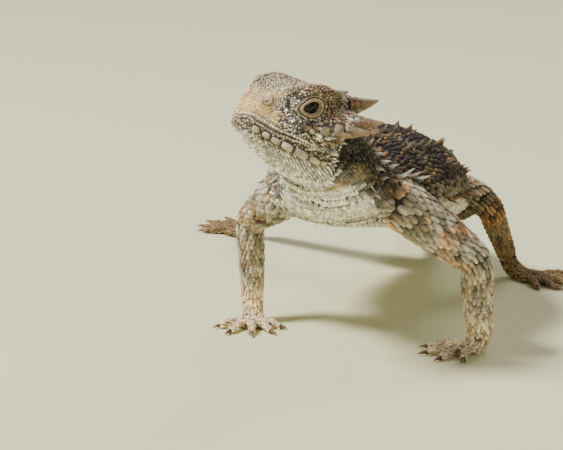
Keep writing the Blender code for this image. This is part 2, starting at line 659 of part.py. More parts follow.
def centre_on_floor():
    """Moves the whole lizard so that its origin is the middle of its box, on the floor."""
    points = np.array([obj.matrix_world @ v.co for obj in lizard.objects for v in obj.data.vertices])
    low, high = points.min(axis=0), points.max(axis=0)
    shift = Vector((-(low[0] + high[0]) / 2, -(low[1] + high[1]) / 2, -low[2]))
    for obj in lizard.objects:
        obj.data.transform(Matrix.Translation(shift))
    print("origin shift in mm", [round(v / MM, 3) for v in shift], "size", np.round((high - low) / MM, 2))


for old in list(bpy.data.objects):
    bpy.data.objects.remove(old)
lizard = bpy.data.collections.new("horned_lizard")
workshop = bpy.data.collections.new("workshop")
cutting = bpy.data.collections.new("cutters")
for group in (lizard, workshop, cutting):
    bpy.context.scene.collection.children.link(group)
build_head()
build_body()
centre_on_floor()
print("triangles", sum(len(p.vertices) - 2 for obj in lizard.objects for p in obj.data.polygons))
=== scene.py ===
# A desert horned lizard at life size: one skin, its scales, spines, horns, claws and eyes.
# Shapes are worked out in millimetres in the lizard's own frame, where it faces -Y and its
# left side is +X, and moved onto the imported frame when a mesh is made.
import math

import bmesh
import bpy
import numpy as np
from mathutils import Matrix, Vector, kdtree, noise
from mathutils.bvhtree import BVHTree


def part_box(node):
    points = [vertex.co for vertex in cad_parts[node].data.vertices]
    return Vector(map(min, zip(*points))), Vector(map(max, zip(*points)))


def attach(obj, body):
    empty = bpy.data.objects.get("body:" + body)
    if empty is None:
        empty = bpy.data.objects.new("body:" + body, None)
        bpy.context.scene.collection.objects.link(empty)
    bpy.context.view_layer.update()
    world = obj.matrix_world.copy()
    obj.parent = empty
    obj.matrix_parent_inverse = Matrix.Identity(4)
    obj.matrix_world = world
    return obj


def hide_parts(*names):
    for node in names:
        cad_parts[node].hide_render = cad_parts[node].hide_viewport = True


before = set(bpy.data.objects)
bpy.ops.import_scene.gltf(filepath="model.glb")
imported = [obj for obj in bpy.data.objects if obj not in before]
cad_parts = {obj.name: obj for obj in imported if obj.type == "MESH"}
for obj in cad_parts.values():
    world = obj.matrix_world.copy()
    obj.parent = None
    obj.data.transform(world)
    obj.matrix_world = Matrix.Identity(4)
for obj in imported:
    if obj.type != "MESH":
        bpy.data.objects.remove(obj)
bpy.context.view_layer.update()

mm = 0.001
up = np.array([0.0, 0.0, 1.0])

headPlan = {
    "centre": np.array([-3.05, -12.9, 35.0]),    # midway between the eyes
    "yaw": math.radians(43),                     # turned to its right
    "pitch": math.radians(20),                   # snout raised
    "rear": -6.0,
    # one row a station: ahead, crown height, then half-width and height of brow, cheek, mouth
    # and jaw, and the height of the chin
    "sections": np.array((
        (-6.0, 1.5, 4.6, 1.8, 6.2, -2.0, 6.3, -5.2, 6.1, -6.8, -9.2),
        (-3.6, 2.3, 5.7, 3.1, 6.6, -1.8, 6.6, -4.8, 6.5, -6.3, -9.0),
        (-1.3, 2.0, 5.6, 3.0, 6.1, -1.5, 6.3, -4.5, 6.2, -6.0, -8.3),
        (1.0, 1.2, 4.8, 1.8, 5.4, -1.7, 5.6, -4.2, 5.4, -5.7, -7.4),
        (2.8, 0.3, 3.7, 0.6, 4.3, -2.1, 4.6, -3.9, 4.4, -5.3, -6.4),
        (4.0, -0.8, 2.7, -0.8, 3.3, -2.5, 3.6, -3.7, 3.3, -4.9, -5.7),
        (4.95, -1.9, 1.7, -2.0, 2.3, -2.9, 2.5, -3.5, 2.2, -4.5, -5.0),
        (5.6, -2.75, 0.8, -2.9, 1.1, -3.3, 1.0, -3.5, 0.9, -4.1, -4.3),
    )),
}

# Stations of the body: name, centre, fall and turn in degrees, half-width, height over and
# under the centre.
bodyPlan = (
    ("nape", (0.4, -6.2, 25.9), 52, 12, 6.3, 5.2, 5.2),
    ("neckRoot", (0.2, -1.6, 22.4), 33, 2, 8.2, 5.5, 5.6),
    ("shoulder", (0.1, 3.5, 20.8), 12, 0, 10.7, 6.4, 5.4),
    ("chest", (0.0, 10.0, 20.1), 6, 0, 12.7, 7.5, 6.0),
    ("belly", (-0.2, 17.0, 18.7), 13, 0, 13.6, 8.0, 6.2),
    ("loin", (-0.4, 26.0, 15.8), 18, 0, 11.9, 7.3, 5.4),
    ("waist", (-0.5, 34.0, 13.1), 19, 0, 9.2, 5.9, 4.7),
    ("hip", (-0.5, 41.5, 10.8), 20, -2, 7.3, 4.9, 4.4),
    ("vent", (-0.5, 47.5, 8.8), 24, -8, 5.2, 4.0, 3.9),
    ("tail1", (-1.5, 53.0, 6.0), 27, -14, 3.6, 3.0, 2.9),
    ("tail2", (-3.2, 58.5, 3.6), 20, -20, 2.7, 2.2, 2.2),
    ("tail3", (-5.8, 64.5, 1.9), 10, -26, 2.1, 1.7, 2.1),
    ("tail4", (-9.0, 70.5, 1.2), 4, -30, 1.6, 1.3, 1.5),
    ("tail5", (-12.4, 76.0, 0.9), 2, -33, 1.15, 0.95, 1.2),
    ("tailEnd", (-16.0, 81.5, 0.5), 2, -34, 0.5, 0.45, 0.8),
)
bodyForm = {"neckOver": -0.4, "neckUnder": -9.0, "neckWidth": 6.0, "backDome": 1.12, "bellyFlat": 0.85,
            "sideRound": 0.95}

# Legs: root inside the body, shoulder or hip, elbow or knee, wrist or ankle, radii at the root,
# upper bone, lower bone and last joint, and where the toes head, in degrees from +X to +Y.
legPlan = {
    "foreLeft": {"root": (5.0, 2.0, 21.0), "radii": (3.2, 3.1, 2.05, 1.65), "toes": "hand", "heading": -144,
                 "joints": ((9.2, 0.2, 19.3), (18.9, -0.2, 13.0), (19.0, 2.2, 2.5))},
    "foreRight": {"root": (-5.0, 2.2, 21.0), "radii": (3.1, 2.8, 1.75, 1.45), "toes": "hand", "heading": -76,
                  "joints": ((-7.9, 2.6, 19.4), (-14.6, 7.4, 14.4), (-14.1, 7.0, 2.6))},
    "hindLeft": {"root": (3.0, 41.5, 11.5), "radii": (3.6, 3.0, 1.7, 1.4), "toes": "foot", "heading": -18,
                 "joints": ((6.4, 38.6, 12.5), (12.9, 31.0, 14.6), (13.5, 42.8, 3.5))},
    "hindRight": {"root": (-3.0, 41.5, 11.5), "radii": (3.6, 3.0, 1.7, 1.4), "toes": "foot", "heading": 136,
                  "joints": ((-7.2, 40.8, 11.4), (-17.6, 43.6, 11.6), (-30.0, 53.0, 4.6))},
}
legNames = list(legPlan)
# Sole length, half-width and thickness, then each digit's turn in degrees and its length.
toePlan = {
    "hand": {"palm": 3.4, "width": 2.3, "height": 1.5,
             "digits": ((64, 3.4), (32, 4.6), (4, 5.2), (-26, 5.0), (-62, 3.6))},
    "foot": {"palm": 6.5, "width": 2.4, "height": 1.6,
             "digits": ((44, 4.2), (22, 6.2), (4, 8.2), (-14, 9.4), (-44, 5.4))},
    "radius": 0.62, "sink": 0.35, "clawStart": 0.78, "clawRadius": 0.3,
}


def unit(v):
    return v / np.linalg.norm(v)


def spline(knots, values, t):
    i = int(np.clip(np.searchsorted(knots, t) - 1, 0, len(knots) - 2))

    def slope(j):
        a, b = max(j - 1, 0), min(j + 1, len(knots) - 1)
        return (values[b] - values[a]) / (knots[b] - knots[a])

    h = knots[i + 1] - knots[i]
    w = (t - knots[i]) / h
    return ((2 * w**3 - 3 * w**2 + 1) * values[i] + (w**3 - 2 * w**2 + w) * h * slope(i)
            + (3 * w**2 - 2 * w**3) * values[i + 1] + (w**3 - w**2) * h * slope(i + 1))


def chordKnots(points):
    return np.concatenate([[0.0], np.cumsum(np.linalg.norm(np.diff(points, axis=0), axis=1))])


def smooth(a, b, x):
    t = np.clip((x - a) / (b - a), 0.0, 1.0)
    return t * t * (3 - 2 * t)


def bell(x, width):
    return np.exp(-(x / width) ** 2)


def headAxes():
    flat = np.array([-math.sin(headPlan["yaw"]), -math.cos(headPlan["yaw"]), 0.0])
    left = np.cross(up, flat)
    ahead = flat * math.cos(headPlan["pitch"]) + up * math.sin(headPlan["pitch"])
    return ahead, left, np.cross(ahead, left)


headAhead, headLeft, headCrown = headAxes()


def inHead(points):
    p = np.asarray(points, float)
    return (headPlan["centre"] + p[..., 0:1] * headAhead + p[..., 1:2] * headLeft
            + p[..., 2:3] * headCrown)


def toHead(points):
    p = np.asarray(points, float) - headPlan["centre"]
    return np.stack([p @ headAhead, p @ headLeft, p @ headCrown], axis=-1)


eyePlan = {"centre": (-0.1, 4.6, 0.0), "radius": 1.75, "bulge": 0.18, "bulgeWidth": 0.6,
           "opening": (1.24, 0.7), "openAt": (-0.45, 0.03), "tilt": math.radians(20), "corner": 1.75,
           "flatten": 1.2, "dome": (2.3, 1.85, 2.0), "domeCentre": (-0.2, 5.2, 0.0)}
eyeLow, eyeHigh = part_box("eye_left")
originShift = np.array((eyeLow + eyeHigh) / 2) / mm - inHead(eyePlan["centre"])


def toRow(points):
    return (np.asarray(points, float) + originShift) * mm


def headOutline(f, upperCount, lowerCount):
    table = headPlan["sections"]
    (_, crown, browW, browU, cheekW, cheekU, mouthW, mouthU, jawW, jawU, chin) = spline(table[:, 0], table, f)
    upper = np.array([(-browW, browU), (0, crown), (browW, browU), (cheekW, cheekU), (mouthW, mouthU)])
    lower = np.array([(mouthW, mouthU), (jawW, jawU), (0, chin), (-jawW, jawU)])

    def walk(points, first, last, count):
        knots = chordKnots(points)
        return np.array([spline(knots, points, t) for t in np.linspace(knots[first], knots[last], count)])

    return walk(upper, 1, 4, upperCount), walk(lower, 0, 2, lowerCount)


def bodyTable():
    rows = []
    for _, centre, fall, turn, width, over, under in bodyPlan:
        a, b = math.radians(fall), math.radians(turn)
        heading = (math.sin(b) * math.cos(a), math.cos(b) * math.cos(a), -math.sin(a))
        rows.append((*centre, *heading, width, over, under))
    top, bottom = bodyForm["neckOver"], bodyForm["neckUnder"]
    start = inHead((headPlan["rear"], 0.0, (top + bottom) / 2))
    first = (*start, *(-headAhead), bodyForm["neckWidth"], (top - bottom) / 2, (top - bottom) / 2)
    return np.array([first] + rows)


bodyRows = bodyTable()
bodyKnots = chordKnots(bodyRows[:, :3])
station = dict(zip(["head"] + [row[0] for row in bodyPlan], bodyKnots))


def bodyFrame(s):
    row = spline(bodyKnots, bodyRows, s)
    along = unit(row[3:6])
    side = unit(np.cross(along, up))
    return row[:3], along, side, np.cross(side, along), row[6:9]


def bodyAlong(s):
    return bodyFrame(s)[1]


def bodyPoint(s, angle):
    # skin of the body at distance s, at an angle from the ridge of the back to its left
    centre, along, side, over, (width, high, low) = bodyFrame(s)
    sn, cs = math.sin(angle), math.cos(angle)
    across = width * math.copysign(abs(sn) ** bodyForm["sideRound"], sn)
    power = bodyForm["backDome"] if cs > 0 else bodyForm["bellyFlat"]
    rise = (high if cs > 0 else low) * math.copysign(abs(cs) ** power, cs)
    return centre + side * across + over * rise


def roundedPath(points, radius, steps=8):
    path, middles = [points[0]], []
    for a, b, c in zip(points, points[1:], points[2:]):
        into, out = unit(b - a), unit(c - b)
        turn = math.acos(np.clip(into @ out, -1.0, 1.0))
        reach = min(radius * math.tan(turn / 2), 0.47 * np.linalg.norm(b - a), 0.47 * np.linalg.norm(c - b))
        bend = reach / math.tan(turn / 2)
        centre = b + unit(out - into) * bend / math.cos(turn / 2)
        inward = unit(np.cross(np.cross(into, out), into))
        for k in range(steps + 1):
            angle = turn * k / steps
            path.append(centre - inward * bend * math.cos(angle) + into * bend * math.sin(angle))
        middles.append(len(path) - 1 - steps // 2)
    path.append(points[-1])
    return np.array(path), middles


def legLine(leg):
    # centre line of a leg, its radii along that line, and where its joints lie
    plan = legPlan[leg]
    points = [np.array(p) for p in (plan["root"], *plan["joints"])]
    rootRadius, topRadius, lowRadius, endRadius = plan["radii"]
    path, middles = roundedPath(points, lowRadius * 1.12)
    knots = chordKnots(path)
    hip, knee, ankle = knots[middles[0]], knots[middles[1]], knots[-1]
    marks = np.array([0.0, hip, hip * 0.45 + knee * 0.55, knee, knee * 0.7 + ankle * 0.3, ankle])
    widths = np.array([rootRadius, rootRadius, topRadius * 0.9, (topRadius + lowRadius) * 0.42, lowRadius,
                       endRadius])

    def at(s):
        return np.array([np.interp(s, knots, path[:, i]) for i in range(3)])

    def along(s):
        return unit(at(min(s + 0.25, ankle)) - at(max(s - 0.25, 0.0)))

    return {"at": at, "along": along, "radius": lambda s: spline(marks, widths, s), "hip": hip,
            "ankle": ankle, "side": unit(np.cross(along(0.0), up))}


legLines = {leg: legLine(leg) for leg in legNames}


def crossAxes(along, side):
    # two directions across a limb, the first of them towards its side
    a = unit(np.cross(along, np.cross(side, along)))
    return a, np.cross(a, along)


def limbRing(centre, along, side, width, height, count):
    a, b = crossAxes(along, side)
    return [centre + width * math.cos(k) * a + height * math.sin(k) * b
            for k in np.linspace(0, 2 * math.pi, count, endpoint=False)]


def legPoint(leg, s, angle):
    line = legLines[leg]
    a, b = crossAxes(line["along"](s), line["side"])
    r = line["radius"](s)
    return line["at"](s) + r * (math.cos(angle) * a + math.sin(angle) * b)


def footFrame(leg):
    plan = legPlan[leg]
    toes = toePlan[plan["toes"]]
    heading = math.radians(plan["heading"])
    ahead = np.array([math.cos(heading), math.sin(heading), 0.0])
    left = np.array([-ahead[1], ahead[0], 0.0])
    ankle = np.array(plan["joints"][-1])
    return toes, ahead, left, ankle, ankle * (1, 1, 0)


def soleRings(leg, count):
    toes, ahead, left, ankle, ground = footFrame(leg)
    down = legLines[leg]["along"](legLines[leg]["ankle"])
    radius = legPlan[leg]["radii"][-1]
    sole, width, height = toes["palm"], toes["width"], toes["height"]
    level = up * (height / 2 - toePlan["sink"] * 0.6)
    stations = np.array([
        (*(ankle - down * 0.8), *down, radius, radius),
        (*ankle, *down, radius, radius),
        (*(ankle * 0.45 + (ground + level) * 0.55 + ahead * sole * 0.12), *unit(down + ahead * 0.6),
         radius * 1.02, radius * 0.95),
        (*(ground + level * 1.15 + ahead * sole * 0.42), *unit(down * 0.25 + ahead), width * 0.82,
         height * 0.62),
        (*(ground + level + ahead * sole * 0.75), *ahead, width, height * 0.52),
        (*(ground + level * 0.9 + ahead * sole * 1.1), *ahead, width * 0.8, height * 0.42)])
    knots = chordKnots(stations[:, :3])
    rings, lies = [], []
    for s in np.linspace(knots[0], knots[-1], 16):
        row = spline(knots, stations, s)
        along = unit(row[3:6])
        rings.append(limbRing(row[:3], along, left, row[6], row[7], count))
        lies.append(along)
    return rings, lies


def digitPlan(leg, index):
    # base, direction and full length of one digit
    toes, ahead, left, _, ground = footFrame(leg)
    turn, length = toes["digits"][index]
    outer = 1 if leg.endswith("Left") else -1
    turn = math.radians(turn) * -outer
    direction = ahead * math.cos(turn) + left * math.sin(turn)
    base = ground + ahead * toes["palm"] * 0.65 + left * math.sin(turn) * toes["width"] * 0.45
    return base, direction, length + toes["palm"] * 0.35


def digitCentre(base, direction, full, t, radius):
    arch = 0.5 * math.sin(math.pi * min(t / 0.75, 1.0))
    return base + direction * full * t + up * (radius * 0.75 - 0.1 + arch)


# The flesh starts as closed shells that overlap; each of their points keeps which part it is
# of, how far along and around that part it lies, and which way the scales lie there.
flesh = {"points": [], "faces": [], "part": [], "along": [], "around": [], "lie": []}
parts = {"head": 0, "body": 1, "leg": 2, "sole": 6, "digit": 10, "lid": 30}


def loftFaces(first, rows, count):
    # quads between rings of points that follow one another, and a cap at each end
    faces = []
    for i in range(rows - 1):
        for k in range(count):
            a, b = first + i * count + k, first + i * count + (k + 1) % count
            faces.append((a, a + count, b + count, b))
    faces.append(tuple(first + k for k in range(count)))
    faces.append(tuple(first + (rows - 1) * count + k for k in reversed(range(count))))
    return faces


def addShell(rings, part, alongs, lies):
    rings = np.array(rings)
    rows, count = rings.shape[:2]
    flesh["faces"] += loftFaces(len(flesh["points"]), rows, count)
    flesh["points"].extend(rings.reshape(-1, 3))
    for i in range(rows):
        flesh["part"].extend([part] * count)
        flesh["along"].extend([alongs[i]] * count)
        flesh["around"].extend(np.arange(count) / count)
        flesh["lie"].extend([lies[i]] * count)


def headRing(f, upperCount=20, lowerCount=15):
    over, under = headOutline(f, upperCount, lowerCount)
    left = np.concatenate([over, under[1:]])
    right = left[-2:0:-1] * (-1, 1)
    outline = np.concatenate([left, right])
    return inHead(np.column_stack([np.full(len(outline), f), outline]))


def ellipsoidRings(centre, radii, rows=18, count=26):
    # in the head's frame, from its front pole to its rear pole
    rings = []
    angles = np.linspace(0, 2 * math.pi, count, endpoint=False)
    for k in np.linspace(0.12, math.pi - 0.12, rows):
        ring = np.column_stack([np.full(count, radii[0] * math.cos(k)),
                                radii[1] * math.sin(k) * np.sin(angles),
                                radii[2] * math.sin(k) * np.cos(angles)])
        rings.append(inHead(ring + np.array(centre)))
    return rings


def headSide(point, side):
    # a point given for the left half of the head, on either side of it
    return inHead(np.array(point) * (1, side, 1))


hornPlan = {
    # root and tip in the head's frame, radius, how far up the cut of the solid lies, and how
    # much taller than wide the horn is
    "occipital": ((-4.4, 2.9, 0.9), (-11.0, 3.8, 3.4), 1.5, 0.34, 1.2),
    "temporal_1": ((-4.4, 5.2, -0.3), (-8.7, 9.9, 0.9), 1.25, 0.34, 1.15),
    "temporal_2": ((-3.3, 5.6, -1.5), (-6.9, 10.4, -0.8), 1.05, 0.34, 1.4),
    "temporal_3": ((-1.9, 5.9, -2.2), (-5.1, 9.5, -1.9), 0.95, 0.42, 1.3),
}


def hornLine(root, tip, side):
    # centre line of one horn with the slight sag of its upturned tip
    a, b = headSide(root, side), headSide(tip, side)
    sag = 0.06 * np.linalg.norm(b - a) * headCrown
    return lambda t: a * (1 - t) + b * t - sag * 4 * t * (1 - t)


browShelf = {"line": ((2.7, 4.1, 1.0), (1.0, 5.3, 1.6), (-0.8, 5.9, 2.0), (-2.6, 5.9, 2.3),
                      (-4.2, 5.95, 2.6)),
             "radii": (0.3, 0.62, 0.75, 0.7, 0.16)}


def tubeRings(points, radii, count=16, rows=22, tall=1.0):
    points, radii = np.array(points), np.array(radii)
    knots = chordKnots(points)
    rings, lies = [], []
    for t in np.linspace(0, knots[-1], rows):
        before = spline(knots, points, max(t - 0.1, 0.0))
        after = spline(knots, points, min(t + 0.1, knots[-1]))
        along = unit(after - before)
        centre, size = spline(knots, points, t), max(float(spline(knots, radii, t)), 0.05)
        rings.append(limbRing(centre, along, unit(np.cross(along, up)), size, size * tall, count))
        lies.append(along)
    return rings, lies


def gatherHead():
    tip, rear = headPlan["sections"][-1, 0], headPlan["rear"] - 1.0
    ahead = np.concatenate([np.linspace(tip, tip - 0.7, 5), np.linspace(tip - 0.9, rear, 46)])
    addShell([headRing(f) for f in ahead], parts["head"], (tip - ahead) / (tip - rear),
             [-headAhead] * len(ahead))
    for side in (1, -1):
        rings = ellipsoidRings(np.array(eyePlan["domeCentre"]) * (1, side, 1), eyePlan["dome"])
        addShell(rings, parts["lid"] + (side < 0), np.linspace(0, 1, len(rings)), [-headAhead] * len(rings))
        rings, lies = tubeRings([headSide(p, side) for p in browShelf["line"]], browShelf["radii"])
        addShell(rings, parts["head"], np.linspace(0.3, 0.8, len(rings)), lies)
        for root, end, radius, cut, tall in hornPlan.values():
            # the skin that rises round the root of a horn
            centre = hornLine(root, end, side)
            steps = np.linspace(-0.1, cut + 0.26, 12)
            sizes = [(radius * (1 - max(t, 0)) ** 0.8 + 0.14) * smooth(cut + 0.42, cut + 0.05, t) + 0.05
                     for t in steps]
            rings, lies = tubeRings([centre(t) for t in steps], sizes, tall=tall)
            addShell(rings, parts["head"], np.linspace(0.6, 0.9, len(rings)), lies)


def digitRings(leg, index, steps):
    # a digit with its pads, rounded off where the claw starts
    base, direction, full = digitPlan(leg, index)
    across = np.cross(up, direction)
    rings = []
    for t in steps:
        radius = toePlan["radius"] * (1.0 - 0.14 * t + 0.07 * math.cos(t * 26))
        radius *= math.sqrt(max(1.0 - smooth(0.72, 0.84, t) ** 2, 0.02))
        centre = digitCentre(base, direction, full, t, toePlan["radius"])
        rings.append([centre + radius * (math.cos(k) * across + math.sin(k) * up)
                      for k in np.linspace(0, 2 * math.pi, 16, endpoint=False)])
    return rings, [direction] * len(steps)


def gatherBody():
    along = np.linspace(0.0, bodyKnots[-1], 170)
    angles = np.linspace(0, 2 * math.pi, 72, endpoint=False)
    addShell([[bodyPoint(s, a) for a in angles] for s in along], parts["body"], along,
             [bodyAlong(s) for s in along])
    for n, leg in enumerate(legNames):
        line = legLines[leg]
        along = np.linspace(0.0, line["ankle"], 56)
        lies = [line["along"](s) for s in along]
        rings = [limbRing(line["at"](s), lie, line["side"], line["radius"](s), line["radius"](s), 30)
                 for s, lie in zip(along, lies)]
        addShell(rings, parts["leg"] + n, along, lies)
        rings, lies = soleRings(leg, 30)
        addShell(rings, parts["sole"] + n, np.linspace(0, 1, len(rings)), lies)
        for index in range(5):
            steps = np.linspace(0.0, toePlan["clawStart"] + 0.04, 26)
            rings, lies = digitRings(leg, index, steps)
            addShell(rings, parts["digit"] + 5 * n + index, steps, lies)


# The skin: size of the mesh that joins the shells, rounds of smoothing and how strong they are on
# flesh and on digits, how much of that is given back, and where the mesh round the eye is finer.
skinPlan = {"voxel": 0.38, "relax": 5, "fleshShare": 0.6, "digitShare": 0.35, "giveBack": 0.96,
            "eyeReach": (3.1, 2.2), "sunk": 0.1, "floor": 0.03}


def meshFrom(name, points, faces):
    mesh = bpy.data.meshes.new(name)
    mesh.from_pydata([Vector(p) for p in points], [], faces)
    mesh.update()
    return mesh


def addObject(name, mesh):
    obj = bpy.data.objects.new(name, mesh)
    bpy.context.scene.collection.objects.link(obj)
    return obj


def settledMesh(obj):
    graph = bpy.context.evaluated_depsgraph_get()
    return bpy.data.meshes.new_from_object(obj.evaluated_get(graph))


def readPoints(mesh):
    points = np.zeros(len(mesh.vertices) * 3)
    mesh.vertices.foreach_get("co", points)
    return points.reshape(-1, 3)


def setPoints(mesh, points):
    mesh.vertices.foreach_set("co", points.ravel())
    mesh.update()


def readNormals(mesh):
    normals = np.zeros(len(mesh.vertices) * 3, np.float32)
    mesh.vertex_normals.foreach_get("vector", normals)
    return normals.reshape(-1, 3).astype(float)


def readEdges(mesh):
    edges = np.zeros(len(mesh.edges) * 2, np.int64)
    mesh.edges.foreach_get("vertices", edges)
    return edges.reshape(-1, 2)


def relax(values, edges, rounds, weight=0.5):
    # each value moves towards the mean of its neighbours
    count = np.bincount(edges.ravel(), minlength=len(values)).astype(float)
    shape = (-1,) + (1,) * (values.ndim - 1)
    share = np.broadcast_to(weight, len(values)).reshape(shape) if np.ndim(weight) else weight
    for _ in range(rounds):
        total = np.zeros_like(values)
        np.add.at(total, edges[:, 0], values[edges[:, 1]])
        np.add.at(total, edges[:, 1], values[edges[:, 0]])
        values = values * (1 - share) + total / count.reshape(shape) * share
    return values


def refine(mesh, chosen):
    # splits the edges whose two ends are chosen
    bm = bmesh.new()
    bm.from_mesh(mesh)
    edges = [e for e in bm.edges if chosen[e.verts[0].index] and chosen[e.verts[1].index]]
    bmesh.ops.subdivide_edges(bm, edges=edges, cuts=1, use_grid_fill=True)
    bm.to_mesh(mesh)
    bm.free()


def halfHead(head):
    return head * np.where(head[:, 1:2] < 0, (1, -1, 1), (1, 1, 1))


def eyeTurned(head):
    # the eye's own axes: along its opening and across it, stretched so that rings lie flatter
    x, y = head[:, 0] - eyePlan["openAt"][0], head[:, 2] - eyePlan["openAt"][1]
    c, s = math.cos(eyePlan["tilt"]), math.sin(eyePlan["tilt"])
    return x * c - y * s, (x * s + y * c) * eyePlan["flatten"]


def eyeDistance(head):
    # distance in mm from the edge of the lid opening, less than zero inside it
    along, across = eyeTurned(head)
    (a, b), power = eyePlan["opening"], eyePlan["corner"]
    aside = across / (b * eyePlan["flatten"])
    reach = (np.abs(along / a) ** power + np.abs(aside) ** power) ** (1 / power) + 1e-6
    size = np.hypot(along, across)
    return np.where(np.abs(head[:, 1]) > 3.2, size - size / reach, 9.0)


def eyeRadius(turn):
    # the eyeball bulges at its front
    return eyePlan["radius"] + eyePlan["bulge"] * bell(turn, eyePlan["bulgeWidth"])


def eyeSurface(f, u):
    # how far outward the eyeball reaches at a place beside its middle
    reach = np.minimum(np.hypot(f, u), eyePlan["radius"] * 0.98)
    turn = np.arcsin(reach / eyePlan["radius"])
    return eyePlan["centre"][1] + eyeRadius(turn) * np.cos(turn)


def nearLine(points, line):
    # least distance from each point to a chain of short straight runs
    best = np.full(len(points), 99.0)
    for a, b in zip(line, line[1:]):
        run = b - a
        t = np.clip(((points - a) @ run) / (run @ run), 0.0, 1.0)
        best = np.minimum(best, np.linalg.norm(points - a - t[:, None] * run, axis=1))
    return best


def smoothLine(points, count=40):
    points = np.array(points, float)
    knots = chordKnots(points)
    return np.array([spline(knots, points, t) for t in np.linspace(0, knots[-1], count)])


# Lines on the left half of the head: ahead, outward and up.
headLines = {
    "mouth": smoothLine(((5.95, 0.0, -3.62), (5.1, 1.7, -3.25), (3.9, 3.2, -3.65), (2.5, 4.5, -4.1),
                         (0.4, 5.6, -4.3), (-1.8, 6.3, -4.5), (-3.6, 6.6, -4.85))),
    "brow": smoothLine(((2.4, 3.9, 0.7), (1.0, 4.9, 1.9), (-1.3, 5.6, 2.9), (-3.2, 5.8, 3.1),
                        (-4.4, 6.0, 2.9))),
    "canthus": smoothLine(((4.6, 2.1, -1.4), (3.6, 3.0, -0.5), (2.4, 3.9, 0.7))),
    "cheekRear": smoothLine(((-4.4, 6.7, -6.4), (-5.3, 6.6, -4.6), (-5.9, 6.4, -2.6), (-5.6, 6.3, -1.2))),
    "temple": smoothLine(((-2.4, 6.2, 0.9), (-3.6, 6.2, 1.2), (-4.8, 5.6, 0.8))),
}
nostril = {"ring": (3.65, 2.75, -0.8), "pit": (3.95, 2.75, -1.05)}

# What is carved into the head, in mm: ridges and creases at a distance from the lid opening with
# their rise or depth and width, then lines and round spots with their rise, where less than zero
# is cut in, and their width.
headCarving = {
    "lidRidges": ((0.12, 0.12), (0.48, 0.12)),
    "lidCreases": ((0.3, 0.12, 0.055), (0.68, 0.3, 0.1), (1.05, 0.16, 0.1)),
    "lines": (("brow", 0.12, 0.5), ("canthus", 0.12, 0.5), ("cheekRear", -0.45, 0.32),
              ("temple", -0.45, 0.7)),
    "spots": (((-4.5, 5.6, 1.3), -0.75, 0.95), ((-3.2, 5.2, 3.2), -0.5, 1.7),
              ((-3.2, 6.5, -3.6), 0.35, 1.9)),
}


def noiseAt(points):
    return np.array([noise.noise(Vector(p)) for p in points])


def wave(points, size, seed):
    return noiseAt(points / size + seed)


def carveHead(points, normals, isHead):
    # lids, nostrils, lips, brows and folds, as offsets along the skin's normals
    head = toHead(points)
    half = halfHead(head)
    lift = np.zeros(len(points))
    eye = eyeDistance(half)
    crease = wave(points, 0.32, 61.0) * smooth(0.0, 0.15, eye) * smooth(1.3, 0.9, eye)
    for place, rise in headCarving["lidRidges"]:
        lift += rise * bell(eye - place, 0.1)
    lift += 0.09 * crease
    for place, depth, width in headCarving["lidCreases"]:
        wobble = 0.03 * np.sin(np.arctan2(head[:, 2], head[:, 0]) * 3 + place * 5)
        lift -= depth * bell(eye - place - wobble, width)
    mouth = nearLine(half, headLines["mouth"])
    lift += 0.08 * bell(mouth - 0.3, 0.18) - 0.24 * bell(mouth, 0.08)
    for line, rise, width in headCarving["lines"]:
        lift += rise * bell(nearLine(half, headLines[line]), width)
    for spot, rise, width in headCarving["spots"]:
        lift += rise * bell(np.linalg.norm(half - spot, axis=1), width)
    rim = np.linalg.norm(half - nostril["ring"], axis=1)
    pit = np.linalg.norm(half - nostril["pit"], axis=1)
    lift += 0.16 * bell(rim, 0.5) - 0.14 * bell(rim - 0.36, 0.08) - 0.2 * bell(rim - 0.78, 0.09)
    lift += 0.1 * bell(rim - 0.57, 0.1) - 0.45 * bell(pit, 0.14)
    return closeLids(toHead(points + normals * (lift * isHead)[:, None]), eye, isHead)


def closeLids(head, eye, isHead):
    # the lids close in on the eyeball, and inside their opening the skin lies behind it
    size = np.hypot(*eyeTurned(head))
    edge = np.minimum(1.0, np.maximum(size - np.maximum(eye, 0), 0.1) / np.maximum(size, 0.1))
    middle = np.array(eyePlan["centre"])[[0, 2]]
    onLid = eyePlan["openAt"] + (head[:, [0, 2]] - eyePlan["openAt"]) * edge[:, None] - middle
    ball = eyeSurface(onLid[:, 0], onLid[:, 1])
    out = np.abs(head[:, 1])
    limit = ball + 0.16 + 0.9 * np.maximum(eye, 0.0) - 0.7 * smooth(0.05, -0.1, eye)
    near = smooth(1.2, 0.8, eye) * isHead
    head[:, 1] = np.sign(head[:, 1]) * (out - np.maximum(out - limit, 0.0) * near)
    return inHead(head)


# Folds of the throat and shoulders: where they lie along the body, depth and width.
bodyFolds = ((station["nape"] * 0.45, 0.3, 0.5), (station["nape"] + 2.3, 0.55, 0.6),
             (station["neckRoot"] + 1.6, 0.4, 0.7), (station["shoulder"] + 2.2, 0.22, 0.7))


